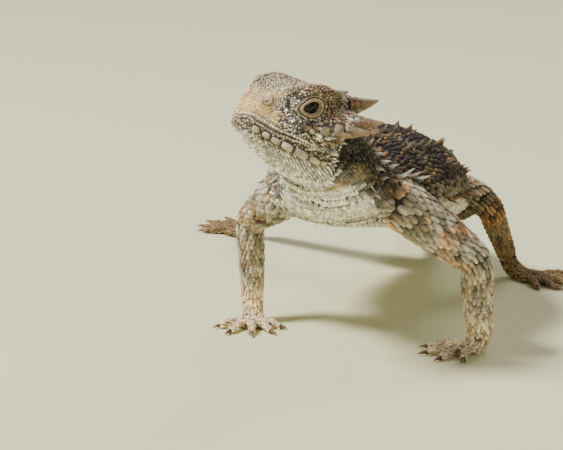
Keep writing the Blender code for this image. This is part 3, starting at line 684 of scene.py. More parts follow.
def carveBody(points, normals, part, along, around):
    angle = (around + 0.5) % 1.0 - 0.5
    below = smooth(0.16, 0.26, np.abs(angle))
    isBody = (part == parts["body"]) * 1.0
    lift = np.zeros(len(points))
    for place, depth, width in bodyFolds:
        fold = place + 0.7 * np.sin(angle * 9 + place) * 0.6
        lift -= depth * bell(along - fold, width) * below
    lift += 0.25 * bell(along - station["nape"] * 0.45 - 1.1, 0.7) * below
    ridge = (along > station["nape"]) & (along < station["vent"])
    lift -= 0.12 * bell(np.abs(angle) * 60, 1.2) * ridge
    lift += 0.22 * bell(np.abs(angle) - 0.262, 0.018) * smooth(station["neckRoot"], station["chest"], along)
    flank = smooth(0.12, 0.2, np.abs(angle)) * smooth(0.34, 0.27, np.abs(angle))
    crumple = noiseAt(points * (0.35, 0.22, 0.3))
    lift += crumple * 0.35 * flank + crumple * 0.1
    return points + normals * (lift * isBody)[:, None]


def joinFlesh():
    # one closed mesh round all the shells
    gatherHead()
    gatherBody()
    work = addObject("fleshWork", meshFrom("fleshWork", flesh["points"], flesh["faces"]))
    union = work.modifiers.new("union", "REMESH")
    union.mode = "VOXEL"
    union.voxel_size = skinPlan["voxel"]
    mesh = settledMesh(work)
    bpy.data.objects.remove(work)
    return mesh


def fleshFinder():
    # finds the point of the shells that lies nearest to each place
    flat = np.array(flesh["points"])
    tree = kdtree.KDTree(len(flat))
    for i, p in enumerate(flat):
        tree.insert(p, i)
    tree.balance()
    return lambda points: np.array([tree.find(p)[1] for p in points])


def refineFace(mesh):
    # smaller faces where lips, nostrils, folds and lids are carved
    for reach in (None, *skinPlan["eyeReach"]):
        half = halfHead(toHead(readPoints(mesh)))
        besideNostril = np.linalg.norm(half - nostril["ring"], axis=1)
        if reach is None:
            chosen = nearLine(half, headLines["mouth"]) < 0.9
            chosen |= nearLine(half, headLines["cheekRear"]) < 0.7
            chosen |= (besideNostril < 1.4) | (eyeDistance(half) < 2.2)
        else:
            chosen = (np.hypot(half[:, 0] - eyePlan["openAt"][0], half[:, 2]) < reach) & (half[:, 1] > 3.6)
            chosen |= besideNostril < 0.42 * reach
        refine(mesh, chosen)


def makeSkin():
    # one closed skin over all the flesh, with its tags, in millimetres
    mesh = joinFlesh()
    nearest = fleshFinder()
    floor = skinPlan["floor"] - originShift[2]
    tags = {name: np.array(flesh[name]) for name in ("part", "along", "around", "lie")}
    points, edges = readPoints(mesh), readEdges(mesh)
    thin = tags["part"][nearest(points)]
    isDigit = (thin >= parts["digit"]) & (thin < parts["lid"])
    share = np.where(isDigit, skinPlan["digitShare"], skinPlan["fleshShare"])
    for _ in range(skinPlan["relax"]):
        points = relax(points, edges, 1, share)
        points = relax(points, edges, 1, -share * skinPlan["giveBack"])
    setPoints(mesh, points)
    refineFace(mesh)
    points, edges = readPoints(mesh), readEdges(mesh)
    isHead = smooth(-6.6, -5.6, toHead(points)[:, 0])
    points = relax(points, edges, 2, 0.4 * isHead)
    points[:, 2] = np.maximum(points[:, 2], floor)
    setPoints(mesh, points)
    found = nearest(points)
    skin = {name: values[found] for name, values in tags.items()}
    points = carveBody(points, readNormals(mesh), skin["part"], skin["along"], skin["around"])
    points = carveHead(points, readNormals(mesh), isHead)
    offset = noiseAt(points * 1.9) * 0.05 - skinPlan["sunk"]
    points = points + readNormals(mesh) * offset[:, None] * (1 - isHead)[:, None]
    points[:, 2] = np.maximum(points[:, 2], floor)
    setPoints(mesh, points)
    skin.update(mesh=mesh, points=points, head=toHead(points), isHead=isHead)
    skin["lie"] = relax(skin["lie"].astype(float), edges, 8)
    print("skin", len(mesh.polygons), "faces")
    return skin


skin = makeSkin()


def dye(r, g, b):
    c = np.array((r, g, b)) / 255
    return np.where(c <= 0.04045, c / 12.92, ((c + 0.055) / 1.055) ** 2.4)


# Colours of the coat; the numbers are listed one by one.
coatColours = {
    "crown": dye(203, 193, 169), "snout": dye(238, 207, 142), "cheek": dye(232, 230, 226),
    "lowCheek": dye(210, 206, 196), "temple": dye(164, 148, 122), "lid": dye(214, 190, 152),
    # lip and chin are the pale colour of those scales, made lighter still as painted light of the sunlit
    # lower jaw
    "darkSpecksAndShade": dye(43, 39, 32), "lip": dye(174, 165, 147), "chin": dye(184, 174, 150),
    "throat": dye(252, 249, 244), "gular": dye(132, 115, 80), "darkBrownAndShade": dye(52, 46, 33),
    # back and backDark are the dark pigment of the back, made darker still as painted shade over the whole
    # back
    "neckBrown": dye(96, 80, 58), "back": dye(50, 41, 28), "backDark": dye(30, 25, 18),
    "backPale": dye(112, 98, 74), "rust": dye(168, 116, 68), "flank": dye(126, 113, 86),
    "belly": dye(216, 214, 204), "arm": dye(178, 172, 156), "armOrange": dye(206, 150, 100),
    "hand": dye(254, 235, 196), "shank": dye(122, 106, 76), "foot": dye(140, 114, 76),
}


def paintSkin():
    # pigment, how strongly the scales vary from it, and how often one is orange
    part, along, points = skin["part"], skin["along"], skin["points"]
    head, isHead = skin["head"], skin["isHead"]
    angle = np.abs((skin["around"] + 0.5) % 1.0 - 0.5) * 360
    slow, quick = wave(points, 3.2, 3.1), wave(points, 1.1, 7.7)
    count = len(points)
    pigment = np.tile(coatColours["back"], (count, 1))
    vary, blush = np.full(count, 0.5), np.full(count, 0.06)

    def put(colour, mask, strength=None, orange=None):
        mask = np.clip(mask, 0, 1)
        pigment[:] += (coatColours[colour] - pigment) * mask[:, None]
        if strength is not None:
            vary[:] += (strength - vary) * mask
        if orange is not None:
            blush[:] += (orange - blush) * mask

    # trunk, neck and tail
    body = (part == parts["body"]) * 1.0
    beat = np.sin((along - station["nape"]) * 2 * math.pi / 8.6 + slow * 1.6
                  - np.cos(np.radians(angle)) * 0.8)
    patches = smooth(0.05, 0.5, beat + 0.5 * quick) * smooth(95, 70, angle) * smooth(2, 9, angle)
    put("backDark", body * patches * 0.85, 0.55)
    put("backPale", body * smooth(-0.3, -0.8, beat + 0.4 * quick) * smooth(80, 60, angle) * 0.65, 0.5, 0.12)
    put("rust", body * smooth(0.1, 0.45, wave(points, 4.5, 21.0)) * smooth(85, 65, angle) * 0.25)
    put("neckBrown", body * smooth(station["neckRoot"] + 3, station["nape"], along), 0.5, 0.12)
    put("backPale", body * bell(angle, 5) * 0.7)
    put("flank", body * smooth(74, 92, angle + slow * 8), 0.45, 0.05)
    put("belly", body * smooth(96, 112, angle + slow * 10), 0.3, 0.03)
    put("throat", body * smooth(96, 112, angle + slow * 8)
        * smooth(station["neckRoot"], station["nape"], along), 0.35)
    onNeck = smooth(station["neckRoot"] + 2.6, station["neckRoot"] - 0.6, along)
    blotch = smooth(14, 26, angle) * smooth(132, 116, angle + slow * 10) * onNeck
    put("darkBrownAndShade", body * smooth(0.3, 0.6, blotch + slow * 0.2) * 0.9, 0.5, 0.03)
    gular = bell(along - station["nape"] * 0.72, 1.1) + 0.8 * bell(along - station["neckRoot"] - 0.4, 0.8)
    put("gular", body * np.clip(gular, 0, 1) * smooth(84, 104, angle) * smooth(-0.5, 0.0, slow), 0.5)
    tail = smooth(station["hip"], station["tail1"], along) * body
    put("backPale", tail * smooth(-0.1, -0.5, beat) * smooth(125, 100, angle), 0.45, 0.15)

    # legs, hands and feet
    for n, leg in enumerate(legNames):
        fore = leg.startswith("fore")
        plain, spotted, end = ("arm", "armOrange", "hand") if fore else ("shank", "rust", "foot")
        limb = (part == parts["leg"] + n) * 1.0
        reach = along / legLines[leg]["ankle"]
        put(plain, limb, 0.65, 0.05)
        bands = np.sin(reach * (15.0 if fore else 22.0) + slow * 1.6 + (0.4 if fore else 2.0))
        spots = smooth(0.15, 0.45, wave(points, 2.3, 40.0 + n))
        put(spotted, limb * np.clip(smooth(0.75, 0.98, bands) * 0.5 + spots * 0.7, 0, 1), 0.5, 0.12)
        put("flank", limb * smooth(-0.3, -0.8, bands) * 0.6)
        if fore:
            dark = smooth(0.08, 0.38, wave(points, 1.6, 90.0 + n)) * smooth(0.95, 0.8, reach)
            put("darkBrownAndShade", limb * dark * 0.55)
        put(end, limb * (smooth(0.86, 0.98, reach) + 0.2 * smooth(0.5, 0.8, reach)), 0.5, 0.08)
        firstDigit = parts["digit"] + 5 * n
        far = (part == parts["sole"] + n) | ((part >= firstDigit) & (part < firstDigit + 5))
        put(end, far * 1.0, 0.35, 0.1)

    # head
    half = halfHead(head)
    f, l, u = half.T
    eye = eyeDistance(half)
    mouth = nearLine(half, headLines["mouth"])
    above = smooth(-0.3, 0.3, u - np.interp(f, headLines["mouth"][::-1, 0], headLines["mouth"][::-1, 2]))
    put("crown", isHead, 0.45, 0.07)
    put("rust", isHead * smooth(1.2, 2.2, u) * smooth(0.05, 0.3, slow) * 0.55)
    put("temple", isHead * smooth(1.6, -0.6, f) * smooth(1.4, 2.4, u) * 0.35, 0.5, 0.12)
    put("cheek", isHead * smooth(1.0, 0.0, u) * above * smooth(4.2, 2.0, f), 1.0, 0.1)
    put("lowCheek", isHead * smooth(-2.0, -3.2, u) * above * smooth(3.8, 1.6, f), 1.0, 0.08)
    onCheek, speck = isHead * smooth(1.6, 0.6, u) * above * smooth(4.0, 1.8, f), wave(points, 0.75, 55.0)
    put("darkSpecksAndShade", onCheek * smooth(0.0, 0.35, speck) * 0.8)
    put("crown", onCheek * smooth(-0.15, -0.4, speck) * 0.5)
    # painted shade in the hollow carved behind the brow spine; elsewhere this dark brown is the blotch of the
    # neck and the patches of the arms
    put("darkBrownAndShade", isHead * bell(np.linalg.norm(half - (-4.5, 5.5, 1.3), axis=1), 1.2), 0.4, 0.05)
    put("temple", isHead * bell(np.linalg.norm(half - (-3.4, 6.2, -0.4), axis=1), 1.7), 0.8, 0.3)
    put("rust", isHead * bell(np.linalg.norm(half - (-4.9, 6.6, -0.5), axis=1), 1.6) * 0.5, 0.8, 0.3)
    put("temple", isHead * bell(nearLine(half, headLines["brow"]), 0.9) * 0.35, 0.5, 0.3)
    put("snout", isHead * smooth(1.8, 3.9, f + quick * 1.2) * above, 0.3, 0.05)
    put("crown", isHead * smooth(0.12, 0.4, wave(points, 1.3, 83.0)) * smooth(1.8, 3.6, f) * above * 0.7)
    put("lip", isHead * smooth(1.0, 0.6, mouth) * smooth(5.0, 3.0, f), 0.7, 0.06)
    put("lip", isHead * (1 - above), 0.7, 0.05)
    put("throat", isHead * (1 - above) * smooth(1.5, 2.1, mouth), 0.55, 0.0)
    put("lid", isHead * smooth(0.95, 0.75, eye), 0.12, 0.0)
    put("crown", isHead * smooth(0.05, 0.35, wave(points, 0.4, 71.0)) * smooth(0.8, 0.6, eye) * 0.8)
    # painted shade along the lid's edge and its creases, and inside its opening behind the eyeball
    for place, width, depth in ((0.0, 0.07, 1.0), (0.31, 0.05, 0.75), (0.7, 0.11, 1.0), (1.05, 0.08, 0.6)):
        put("darkSpecksAndShade", isHead * bell(eye - place, width) * depth)
    put("darkSpecksAndShade", isHead * smooth(0.03, -0.06, eye))
    pit = np.linalg.norm(half - nostril["pit"], axis=1)
    ring = np.linalg.norm(half - nostril["ring"], axis=1)
    put("rust", isHead * bell(ring - 0.78, 0.12) * 0.45)
    # painted shade in the grooves round the nostril, in its pit and along the crease of the mouth; the cheek
    # specks above are real dark markings
    broken = 0.45 + 0.4 * smooth(-0.3, 0.3, quick)
    put("darkSpecksAndShade", isHead * np.clip(bell(ring - 0.36, 0.06) + bell(ring - 0.8, 0.06), 0, 1) * broken)
    put("darkSpecksAndShade", isHead * bell(pit, 0.17))
    put("darkSpecksAndShade", isHead * bell(mouth, 0.1) * 0.6)
    bare = isHead * np.clip(smooth(1.0, 0.85, eye) + smooth(0.98, 0.86, ring)
                            + 0.4 * smooth(2.0, 3.8, f + quick * 0.8) * above, 0, 1)
    skin.update(pigment=pigment, vary=vary, blush=blush, bare=bare, angle=angle, eye=eye, mouth=mouth,
                above=above, nostril=ring)


paintSkin()
print("markings painted")


def writeAttributes(mesh, values):
    # one value, three or four to each point
    for name, array in values.items():
        array = np.asarray(array, np.float32)
        if array.ndim == 1:
            mesh.attributes.new(name, "FLOAT", "POINT").data.foreach_set("value", array)
        elif array.shape[1] == 4:
            mesh.attributes.new(name, "FLOAT_COLOR", "POINT").data.foreach_set("color", array.ravel())
        else:
            mesh.attributes.new(name, "FLOAT_VECTOR", "POINT").data.foreach_set("vector", array.ravel())


def scaleMesh(name, rings, top, segments=7, square=1.0):
    # a closed scale from its underside up: each ring is height, reach ahead, behind and aside
    # and how far its front is raised; square under one makes its corners fuller
    points, faces = [], []
    for height, ahead, behind, aside, raised in rings:
        for k in range(segments):
            a = 2 * math.pi * k / segments
            c, n = math.cos(a), math.sin(a)
            c, n = math.copysign(abs(c) ** square, c), math.copysign(abs(n) ** square, n)
            points.append(((ahead if c > 0 else behind) * c, aside * n, height + raised * max(c, 0)))
    points.append(top)
    last = (len(rings) - 1) * segments
    for r in range(len(rings) - 1):
        for k in range(segments):
            a, b = r * segments + k, r * segments + (k + 1) % segments
            faces.append((a, b, b + segments, a + segments))
    faces.append(tuple(range(segments))[::-1])
    for k in range(segments):
        faces.append((last + k, last + (k + 1) % segments, len(points) - 1))
    mesh = meshFrom(name, points, faces)
    co = readPoints(mesh)
    low, high, wide = co[:, 2].min(), co[:, 2].max(), np.abs(co).max()
    reach = co[:, 2] / high if high > 1 else co[:, 0] / co[:, 0].max() * (co[:, 2] > 0.1 * high)
    pointed = 0.0 if name in ("pebble", "plate", "shield") else 1.0
    writeAttributes(mesh, {"rise": smooth(0.25, 1.0, (co[:, 2] - low) / (high - low)),
                           "tip": smooth(0.5, 1.0, reach) * pointed,
                           "patch": co * (0.5 / wide, 0.5 / wide, 0)})
    mesh.shade_smooth()
    return addObject(name, mesh)


# Scale shapes of one millimetre half-length, with +X the way that they lie: rings, top, points
# in a ring, and squareness where it isn't round.
scalePlan = {
    "pebble": (((-0.5, 0.9, 0.9, 0.9, 0), (0.05, 1.0, 1.0, 0.98, 0), (0.4, 0.62, 0.5, 0.55, 0.06)),
               (0.12, 0, 0.62), 7),
    "keeled": (((-0.5, 0.9, 0.8, 0.7, 0), (0.12, 1.1, 0.95, 0.92, 0.3), (0.32, 0.95, 0.6, 0.34, 0.32)),
               (0.35, 0, 0.72), 8),
    "smooth": (((-0.5, 0.9, 0.85, 0.8, 0), (0.08, 1.08, 1.0, 1.0, 0.22), (0.2, 0.8, 0.7, 0.75, 0.22)),
               (0.1, 0, 0.34), 8),
    "spike": (((-0.6, 0.95, 0.95, 0.9, 0), (0.15, 1.0, 0.95, 0.85, 0.1), (0.7, 0.75, 0.35, 0.5, 0.1),
               (1.35, 0.75, -0.1, 0.22, 0.1)), (1.05, 0, 2.1), 8),
    "shield": (((-0.5, 0.95, 0.95, 0.95, 0), (0.0, 1.0, 1.0, 1.0, 0), (0.24, 0.92, 0.92, 0.9, 0.05),
                (0.36, 0.76, 0.8, 0.72, 0.08)), (0.0, 0, 0.4), 16, 0.58),
    "blade": (((-0.6, 1.0, 1.0, 1.0, 0), (0.2, 1.0, 1.0, 1.0, 0), (0.9, 0.72, 0.6, 0.62, 0.1),
               (1.6, 0.4, 0.1, 0.24, 0.1)), (0.35, 0, 2.1), 12),
    "plate": (((-0.5, 0.95, 0.95, 0.92, 0), (0.1, 1.04, 1.0, 1.0, 0.05), (0.34, 0.86, 0.84, 0.8, 0.1)),
              (0.05, 0, 0.46), 10),
}
scaleShapes = {name: scaleMesh(name, *plan) for name, plan in scalePlan.items()}


def openSocket(sockets, name):
    return next(s for s in sockets if s.enabled and s.name == name)


def fillNode(node, values):
    # values by a socket's name or number: a socket is linked, anything else is set
    for key, value in values.items():
        socket = openSocket(node.inputs, key) if isinstance(key, str) else node.inputs[key]
        if isinstance(value, bpy.types.NodeSocket):
            node.id_data.links.new(value, socket)
        else:
            socket.default_value = value


def addNode(tree, kind, values, **settings):
    node = tree.nodes.new(kind)
    for name, value in settings.items():
        setattr(node, name, value)
    fillNode(node, values)
    return node


def addMath(tree, operation, *values):
    return addNode(tree, "ShaderNodeMath", dict(enumerate(values)), operation=operation).outputs[0]


# The patch of the unwrap that one scale covers, and the greatest number of scales to a square mm.
treePlan = {"patch": 0.003, "density": 60.0}


def coatTree(name, scattered):
    # sets scales on points, or scatters them over a zone of the skin, and joins them into one mesh
    tree = bpy.data.node_groups.new(name, "GeometryNodeTree")
    inputs = [("Skin", "Geometry"), ("Scale Shape", "Object"), ("Finish", "Material"),
              ("Size Spread", "Float"), ("Seed", "Int")]
    inputs += [("Spacing", "Float"), ("Zone", "String")] if scattered else []
    for label, kind in inputs:
        tree.interface.new_socket(label, in_out="INPUT", socket_type="NodeSocket" + kind)
    tree.interface.new_socket("Coat", in_out="OUTPUT", socket_type="NodeSocketGeometry")
    entry = tree.nodes.new("NodeGroupInput").outputs

    def named(attribute, kind="FLOAT_VECTOR"):
        node = addNode(tree, "GeometryNodeInputNamedAttribute", {"Name": attribute}, data_type=kind)
        return openSocket(node.outputs, "Attribute")

    def store(geometry, attribute, kind, domain, value):
        return addNode(tree, "GeometryNodeStoreNamedAttribute",
                       {"Geometry": geometry, "Name": attribute, "Value": value},
                       data_type=kind, domain=domain).outputs[0]

    def chance(low, high, offset):
        seed = addMath(tree, "ADD", entry["Seed"], offset)
        node = addNode(tree, "FunctionNodeRandomValue", {"Min": low, "Max": high, "Seed": seed},
                       data_type="FLOAT")
        return openSocket(node.outputs, "Value")

    def scaled(vector, factor):
        return addNode(tree, "ShaderNodeVectorMath", {0: vector, "Scale": factor},
                       operation="SCALE").outputs[0]

    points, facing = entry["Skin"], named("facing")
    if scattered:
        scatter = addNode(tree, "GeometryNodeDistributePointsOnFaces",
                          {"Mesh": entry["Skin"], "Distance Min": entry["Spacing"],
                           "Density Max": treePlan["density"],
                           "Density Factor": named(entry["Zone"], "FLOAT"), "Seed": entry["Seed"]},
                          distribute_method="POISSON")
        points, facing = scatter.outputs["Points"], scatter.outputs["Normal"]
    points = store(points, "grain", "FLOAT", "POINT", chance(0.0, 1.0, 11))
    turned = addNode(tree, "FunctionNodeAxesToRotation",
                     {"Primary Axis": facing, "Secondary Axis": named("lie")},
                     primary_axis="Z", secondary_axis="X").outputs[0]
    least = addMath(tree, "SUBTRACT", 1.0, entry["Size Spread"])
    most = addMath(tree, "ADD", 1.0, entry["Size Spread"])
    shape = addNode(tree, "GeometryNodeObjectInfo", {"Object": entry["Scale Shape"]})
    placed = addNode(tree, "GeometryNodeInstanceOnPoints",
                     {"Points": points, "Instance": shape.outputs["Geometry"], "Rotation": turned,
                      "Scale": scaled(named("size"), chance(least, most, 23))})
    whole = addNode(tree, "GeometryNodeRealizeInstances", {"Geometry": placed.outputs[0]})
    patch = scaled(named("patch"), treePlan["patch"])
    spot = addNode(tree, "ShaderNodeVectorMath", {0: named("chart"), 1: patch}, operation="ADD")
    mapped = store(whole.outputs[0], "OFBake", "FLOAT2", "CORNER", spot.outputs[0])
    finish = addNode(tree, "GeometryNodeSetMaterial", {"Geometry": mapped, "Material": entry["Finish"]})
    addNode(tree, "NodeGroupOutput", {0: finish.outputs[0]})
    return tree


scatterTree, rowTree = coatTree("scatteredScales", True), coatTree("scalesInRows", False)


def keep(name, mesh, slot, nodes=()):
    # a finished piece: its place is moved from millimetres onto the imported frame
    points = toRow(readPoints(mesh))
    points[:, 2] = np.maximum(points[:, 2], 0.0)
    setPoints(mesh, points.astype(np.float32))
    for spare in ("lie", "size", "chart", "patch", "facing"):
        if spare in mesh.attributes:
            mesh.attributes.remove(mesh.attributes[spare])
    mesh.name = name
    piece = addObject(name, mesh)
    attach(piece, "root")
    if nodes:
        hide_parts(*nodes)
    print(name, sum(len(p.vertices) - 2 for p in mesh.polygons), "triangles")


def keepClosed(name, mesh, values, finish, slot, nodes=()):
    # a smooth piece made without a tree, such as a horn or the skin
    writeAttributes(mesh, values)
    mesh.materials.append(finish)
    mesh.shade_smooth()
    keep(name, mesh, slot, nodes)


def grow(name, source, tree, settings, slot):
    # runs a tree on a work object and keeps its result as one plain mesh on the model
    modifier = source.modifiers.new("scales", "NODES")
    modifier.node_group = tree
    keys = {item.name: item.identifier for item in tree.interface.items_tree if item.in_out == "INPUT"}
    for label, value in settings.items():
        modifier[keys[label]] = value
    graph = bpy.context.evaluated_depsgraph_get()
    mesh = bpy.data.meshes.new_from_object(source.evaluated_get(graph), preserve_all_data_layers=True,
                                           depsgraph=graph)
    source.modifiers.remove(modifier)
    keep(name, mesh, slot)


def addRamp(tree, value, dark, light, low=0.0, high=1.0):
    ramp = addNode(tree, "ShaderNodeValToRGB", {0: value})
    for stop, place, tone in zip(ramp.color_ramp.elements, (low, high), (dark, light)):
        stop.position, stop.color = place, (*tone, 1)
    return ramp.outputs["Color"]


def mixColours(tree, blend, factor, a, b):
    mix = addNode(tree, "ShaderNodeMix", {"Factor": factor, "A": a, "B": b}, data_type="RGBA",
                  blend_type=blend)
    return openSocket(mix.outputs, "Result")


# Clouds that the colours wander with: how fine they are, their darkest and their lightest tone.
mottlePlan = ((420.0, (0.72, 0.70, 0.70), (1.2, 1.18, 1.12)), (1900.0, (0.8, 0.8, 0.82), (1.18, 1.15, 1.12)),
              (4200.0, (0.74, 0.73, 0.72), (1.24, 1.23, 1.21)))


def mottleGroup():
    # brightness and warmth wander over the whole animal, the same on skin, scales and horns
    group = bpy.data.node_groups.new("lizardMottle", "ShaderNodeTree")
    for way in ("INPUT", "OUTPUT"):
        group.interface.new_socket("Colour", in_out=way, socket_type="NodeSocketColor")
    colour = group.nodes.new("NodeGroupInput").outputs[0]
    place = group.nodes.new("ShaderNodeTexCoord").outputs["Object"]
    for fineness, dark, light in mottlePlan:
        cloud = addNode(group, "ShaderNodeTexNoise", {"Vector": place, "Scale": fineness, "Detail": 3.0})
        tone = addRamp(group, cloud.outputs["Fac"], dark, light, 0.32, 0.68)
        colour = mixColours(group, "MULTIPLY", 1.0, colour, tone)
    addNode(group, "NodeGroupOutput", {0: colour})
    return group


mottle = mottleGroup()

# Finishes: roughness, specular level, and how fine and how deep their bump is.
finishPlan = {"skin": (0.72, 0.3, 5200.0, 0.00012), "scales": (0.66, 0.22, 6500.0, 0.00008),
              "horn": (0.48, 0.4, 3600.0, 0.00012), "eye": (0.1, 0.2, 2600.0, 0.000003),
              "floor": (0.85, 0.2, 900.0, 0.0001)}


def startMaterial(name, finish):
    roughness, specular, fineness, depth = finishPlan[finish]
    material = bpy.data.materials.new(name)
    material.use_nodes = True
    tree = material.node_tree
    place = tree.nodes.new("ShaderNodeTexCoord").outputs["Object"]
    grainy = addNode(tree, "ShaderNodeTexNoise", {"Vector": place, "Scale": fineness, "Detail": 3.0})
    bump = addNode(tree, "ShaderNodeBump",
                   {"Distance": depth, "Strength": 0.6, "Height": grainy.outputs["Fac"]})
    shader = tree.nodes["Principled BSDF"]
    fillNode(shader, {"Roughness": roughness, "Specular IOR Level": specular, "Normal": bump.outputs[0]})
    return material, tree, shader


def readAttribute(tree, name):
    return addNode(tree, "ShaderNodeAttribute", {}, attribute_name=name).outputs


def mottled(tree, colour):
    return addNode(tree, "ShaderNodeGroup", {0: colour}, node_tree=mottle).outputs[0]


def skinMaterial():
    # the skin between the scales is darkened as painted shade of the gaps, and is in its own colours where it
    # is bare
    material, tree, shader = startMaterial("lizardSkin", "skin")
    pigment = mottled(tree, readAttribute(tree, "pigment")["Color"])
    deep = mixColours(tree, "MULTIPLY", 1.0, pigment, (0.2, 0.18, 0.16, 1))
    colour = mixColours(tree, "MIX", readAttribute(tree, "bare")["Fac"], deep, pigment)
    fillNode(shader, {"Base Color": colour})
    return material


# Scales: darkest and lightest grain, colour and strength of the orange ones, shade from the foot
# to the top of each, and colour and strength of the pale tips.
coatPlan = {"grain": ((0.1, 0.1, 0.1), (2.3, 2.3, 2.25)), "orange": dye(172, 122, 76), "orangeShare": 0.5,
            "foot": (0.24, 0.22, 0.2), "top": (1.22, 1.22, 1.22), "tip": dye(206, 198, 176), "tipShare": 0.42}


def scaleMaterial():
    material, tree, shader = startMaterial("lizardScales", "scales")
    pigment, grain = readAttribute(tree, "pigment"), readAttribute(tree, "grain")["Fac"]
    varied = mixColours(tree, "MULTIPLY", pigment["Alpha"], mottled(tree, pigment["Color"]),
                        addRamp(tree, grain, *coatPlan["grain"]))
    # a second number out of the grain tells which scales are orange
    draw = addMath(tree, "FRACT", addMath(tree, "MULTIPLY", grain, 7.31))
    warm = addMath(tree, "LESS_THAN", draw, readAttribute(tree, "blush")["Fac"])
    share = addMath(tree, "MULTIPLY", warm, coatPlan["orangeShare"])
    blushed = mixColours(tree, "MIX", share, varied, (*coatPlan["orange"], 1))
    shaded = mixColours(tree, "MIX", readAttribute(tree, "rise")["Fac"], (*coatPlan["foot"], 1),
                        (*coatPlan["top"], 1))
    lit = mixColours(tree, "MULTIPLY", 1.0, blushed, shaded)
    tip = addNode(tree, "ShaderNodeMapRange",
                  {"Value": readAttribute(tree, "tip")["Fac"], "To Max": coatPlan["tipShare"]})
    colour = mixColours(tree, "MIX", tip.outputs["Result"], lit, (*coatPlan["tip"], 1))
    fillNode(shader, {"Base Color": colour})
    return material


def hornMaterial():
    material, tree, shader = startMaterial("lizardHorn", "horn")
    fillNode(shader, {"Base Color": mottled(tree, readAttribute(tree, "pigment")["Color"])})
    return material


def eyeMaterial():
    material, tree, shader = startMaterial("lizardEye", "eye")
    fillNode(shader, {"Base Color": readAttribute(tree, "pigment")["Color"], "Coat Weight": 0.3,
                      "Coat Roughness": 0.03})
    return material


skinFinish, scaleFinish = skinMaterial(), scaleMaterial()
hornFinish, eyeFinish = hornMaterial(), eyeMaterial()


def chartOf(part, along, around):
    # where each point lies on an unwrap of the skin, one cell to each part
    spots = np.zeros((len(part), 3))

    def fillCell(held, x, y, width, height, reach=along):
        spots[held, :2] = np.column_stack([x + around * width, y + reach * height])[held]

    fillCell(part == parts["head"], 0.0, 0.5, 0.48, 0.24)
    fillCell(part == parts["body"], 0.0, 0.0, 0.98, 0.48, along / bodyKnots[-1])
    for n, leg in enumerate(legNames):
        fillCell(part == parts["leg"] + n, 0.5 + 0.125 * n, 0.5, 0.11, 0.24, along / legLines[leg]["ankle"])
        fillCell(part == parts["sole"] + n, 0.5 + 0.125 * n, 0.76, 0.11, 0.05)
    isDigit = (part >= parts["digit"]) & (part < parts["lid"])
    fillCell(isDigit, 0.05 * (part - parts["digit"]), 0.83, 0.04, 0.08)
    fillCell(part >= parts["lid"], 0.2 * (part - parts["lid"]), 0.92, 0.15, 0.07)
    return spots


skin["chart"] = chartOf(skin["part"], skin["along"], skin["around"])
skinFaces = [tuple(p.vertices) for p in skin["mesh"].polygons]
skinTree = BVHTree.FromPolygons([Vector(p) for p in skin["points"]], skinFaces)
faceVertex = np.array([face[0] for face in skinFaces])


def settle(point, allowed, reach=0.9):
    # the nearest place of the skin, where it is near enough and of an allowed part
    place, normal, face, gap = skinTree.find_nearest(Vector(point))
    vertex = faceVertex[face]
    if gap > reach or skin["part"][vertex] not in allowed:
        return None
    return np.array(place), np.array(normal), vertex


def newRows():
    return {name: [] for name in ("co", "facing", "lie", "size", "pigment", "blush", "chart")}


def addScale(rows, place, facing, lie, size, vertex, colour=None, vary=None, blush=None):
    rows["co"].append(place)
    rows["facing"].append(facing)
    rows["lie"].append(lie)
    rows["size"].append(size)
    base = skin["pigment"][vertex] if colour is None else colour
    rows["pigment"].append((*base, skin["vary"][vertex] if vary is None else vary))
    rows["blush"].append(skin["blush"][vertex] if blush is None else blush)
    rows["chart"].append(skin["chart"][vertex])


def settleScale(rows, point, allowed, reach, lie, size, *look):
    # a scale on the skin beside a point, where the skin is near enough and of an allowed part
    found = settle(point, allowed, reach)
    if found:
        addScale(rows, found[0], found[1], lie, size, found[2], *look)


def growRows(name, rows, shape, spread, slot):
    work = addObject(name + "Work", meshFrom(name + "Work", rows["co"], []))
    writeAttributes(work.data, {key: rows[key] for key in rows if key != "co"})
    grow(name, work, rowTree, {"Scale Shape": scaleShapes[shape], "Finish": scaleFinish,
                               "Size Spread": spread, "Seed": 5}, slot)
    bpy.data.objects.remove(work)


def latticeRows(rows, pointAt, lieAt, alongs, angles, allowed, size):
    # rows across a surface, each shifted half a scale from the one before it
    step = angles[1] - angles[0]
    for i, s in enumerate(alongs):
        for angle in angles:
            turned = angle + (step / 2 if i % 2 else 0.0)
            found = settle(pointAt(s, turned), allowed)
            if found:
                place, normal, vertex = found
                addScale(rows, place, normal, lieAt(s), size(s, turned) if callable(size) else size, vertex)


# Chin shields of the left side: centre, how far they turn outwards, half-length and half-width.
chinShields = (((4.7, 3.2, -4.75), 0.75, 0.52, 0.4), ((3.6, 4.2, -5.05), 0.7, 0.52, 0.38),
               ((2.4, 4.95, -5.3), 0.5, 0.64, 0.38), ((0.95, 5.6, -5.55), 0.4, 0.82, 0.46),
               ((-0.95, 6.15, -5.85), 0.2, 0.98, 0.52), ((-2.85, 6.5, -6.1), 0.1, 0.8, 0.4),
               ((-4.2, 6.6, -6.2), 0.1, 0.5, 0.3))

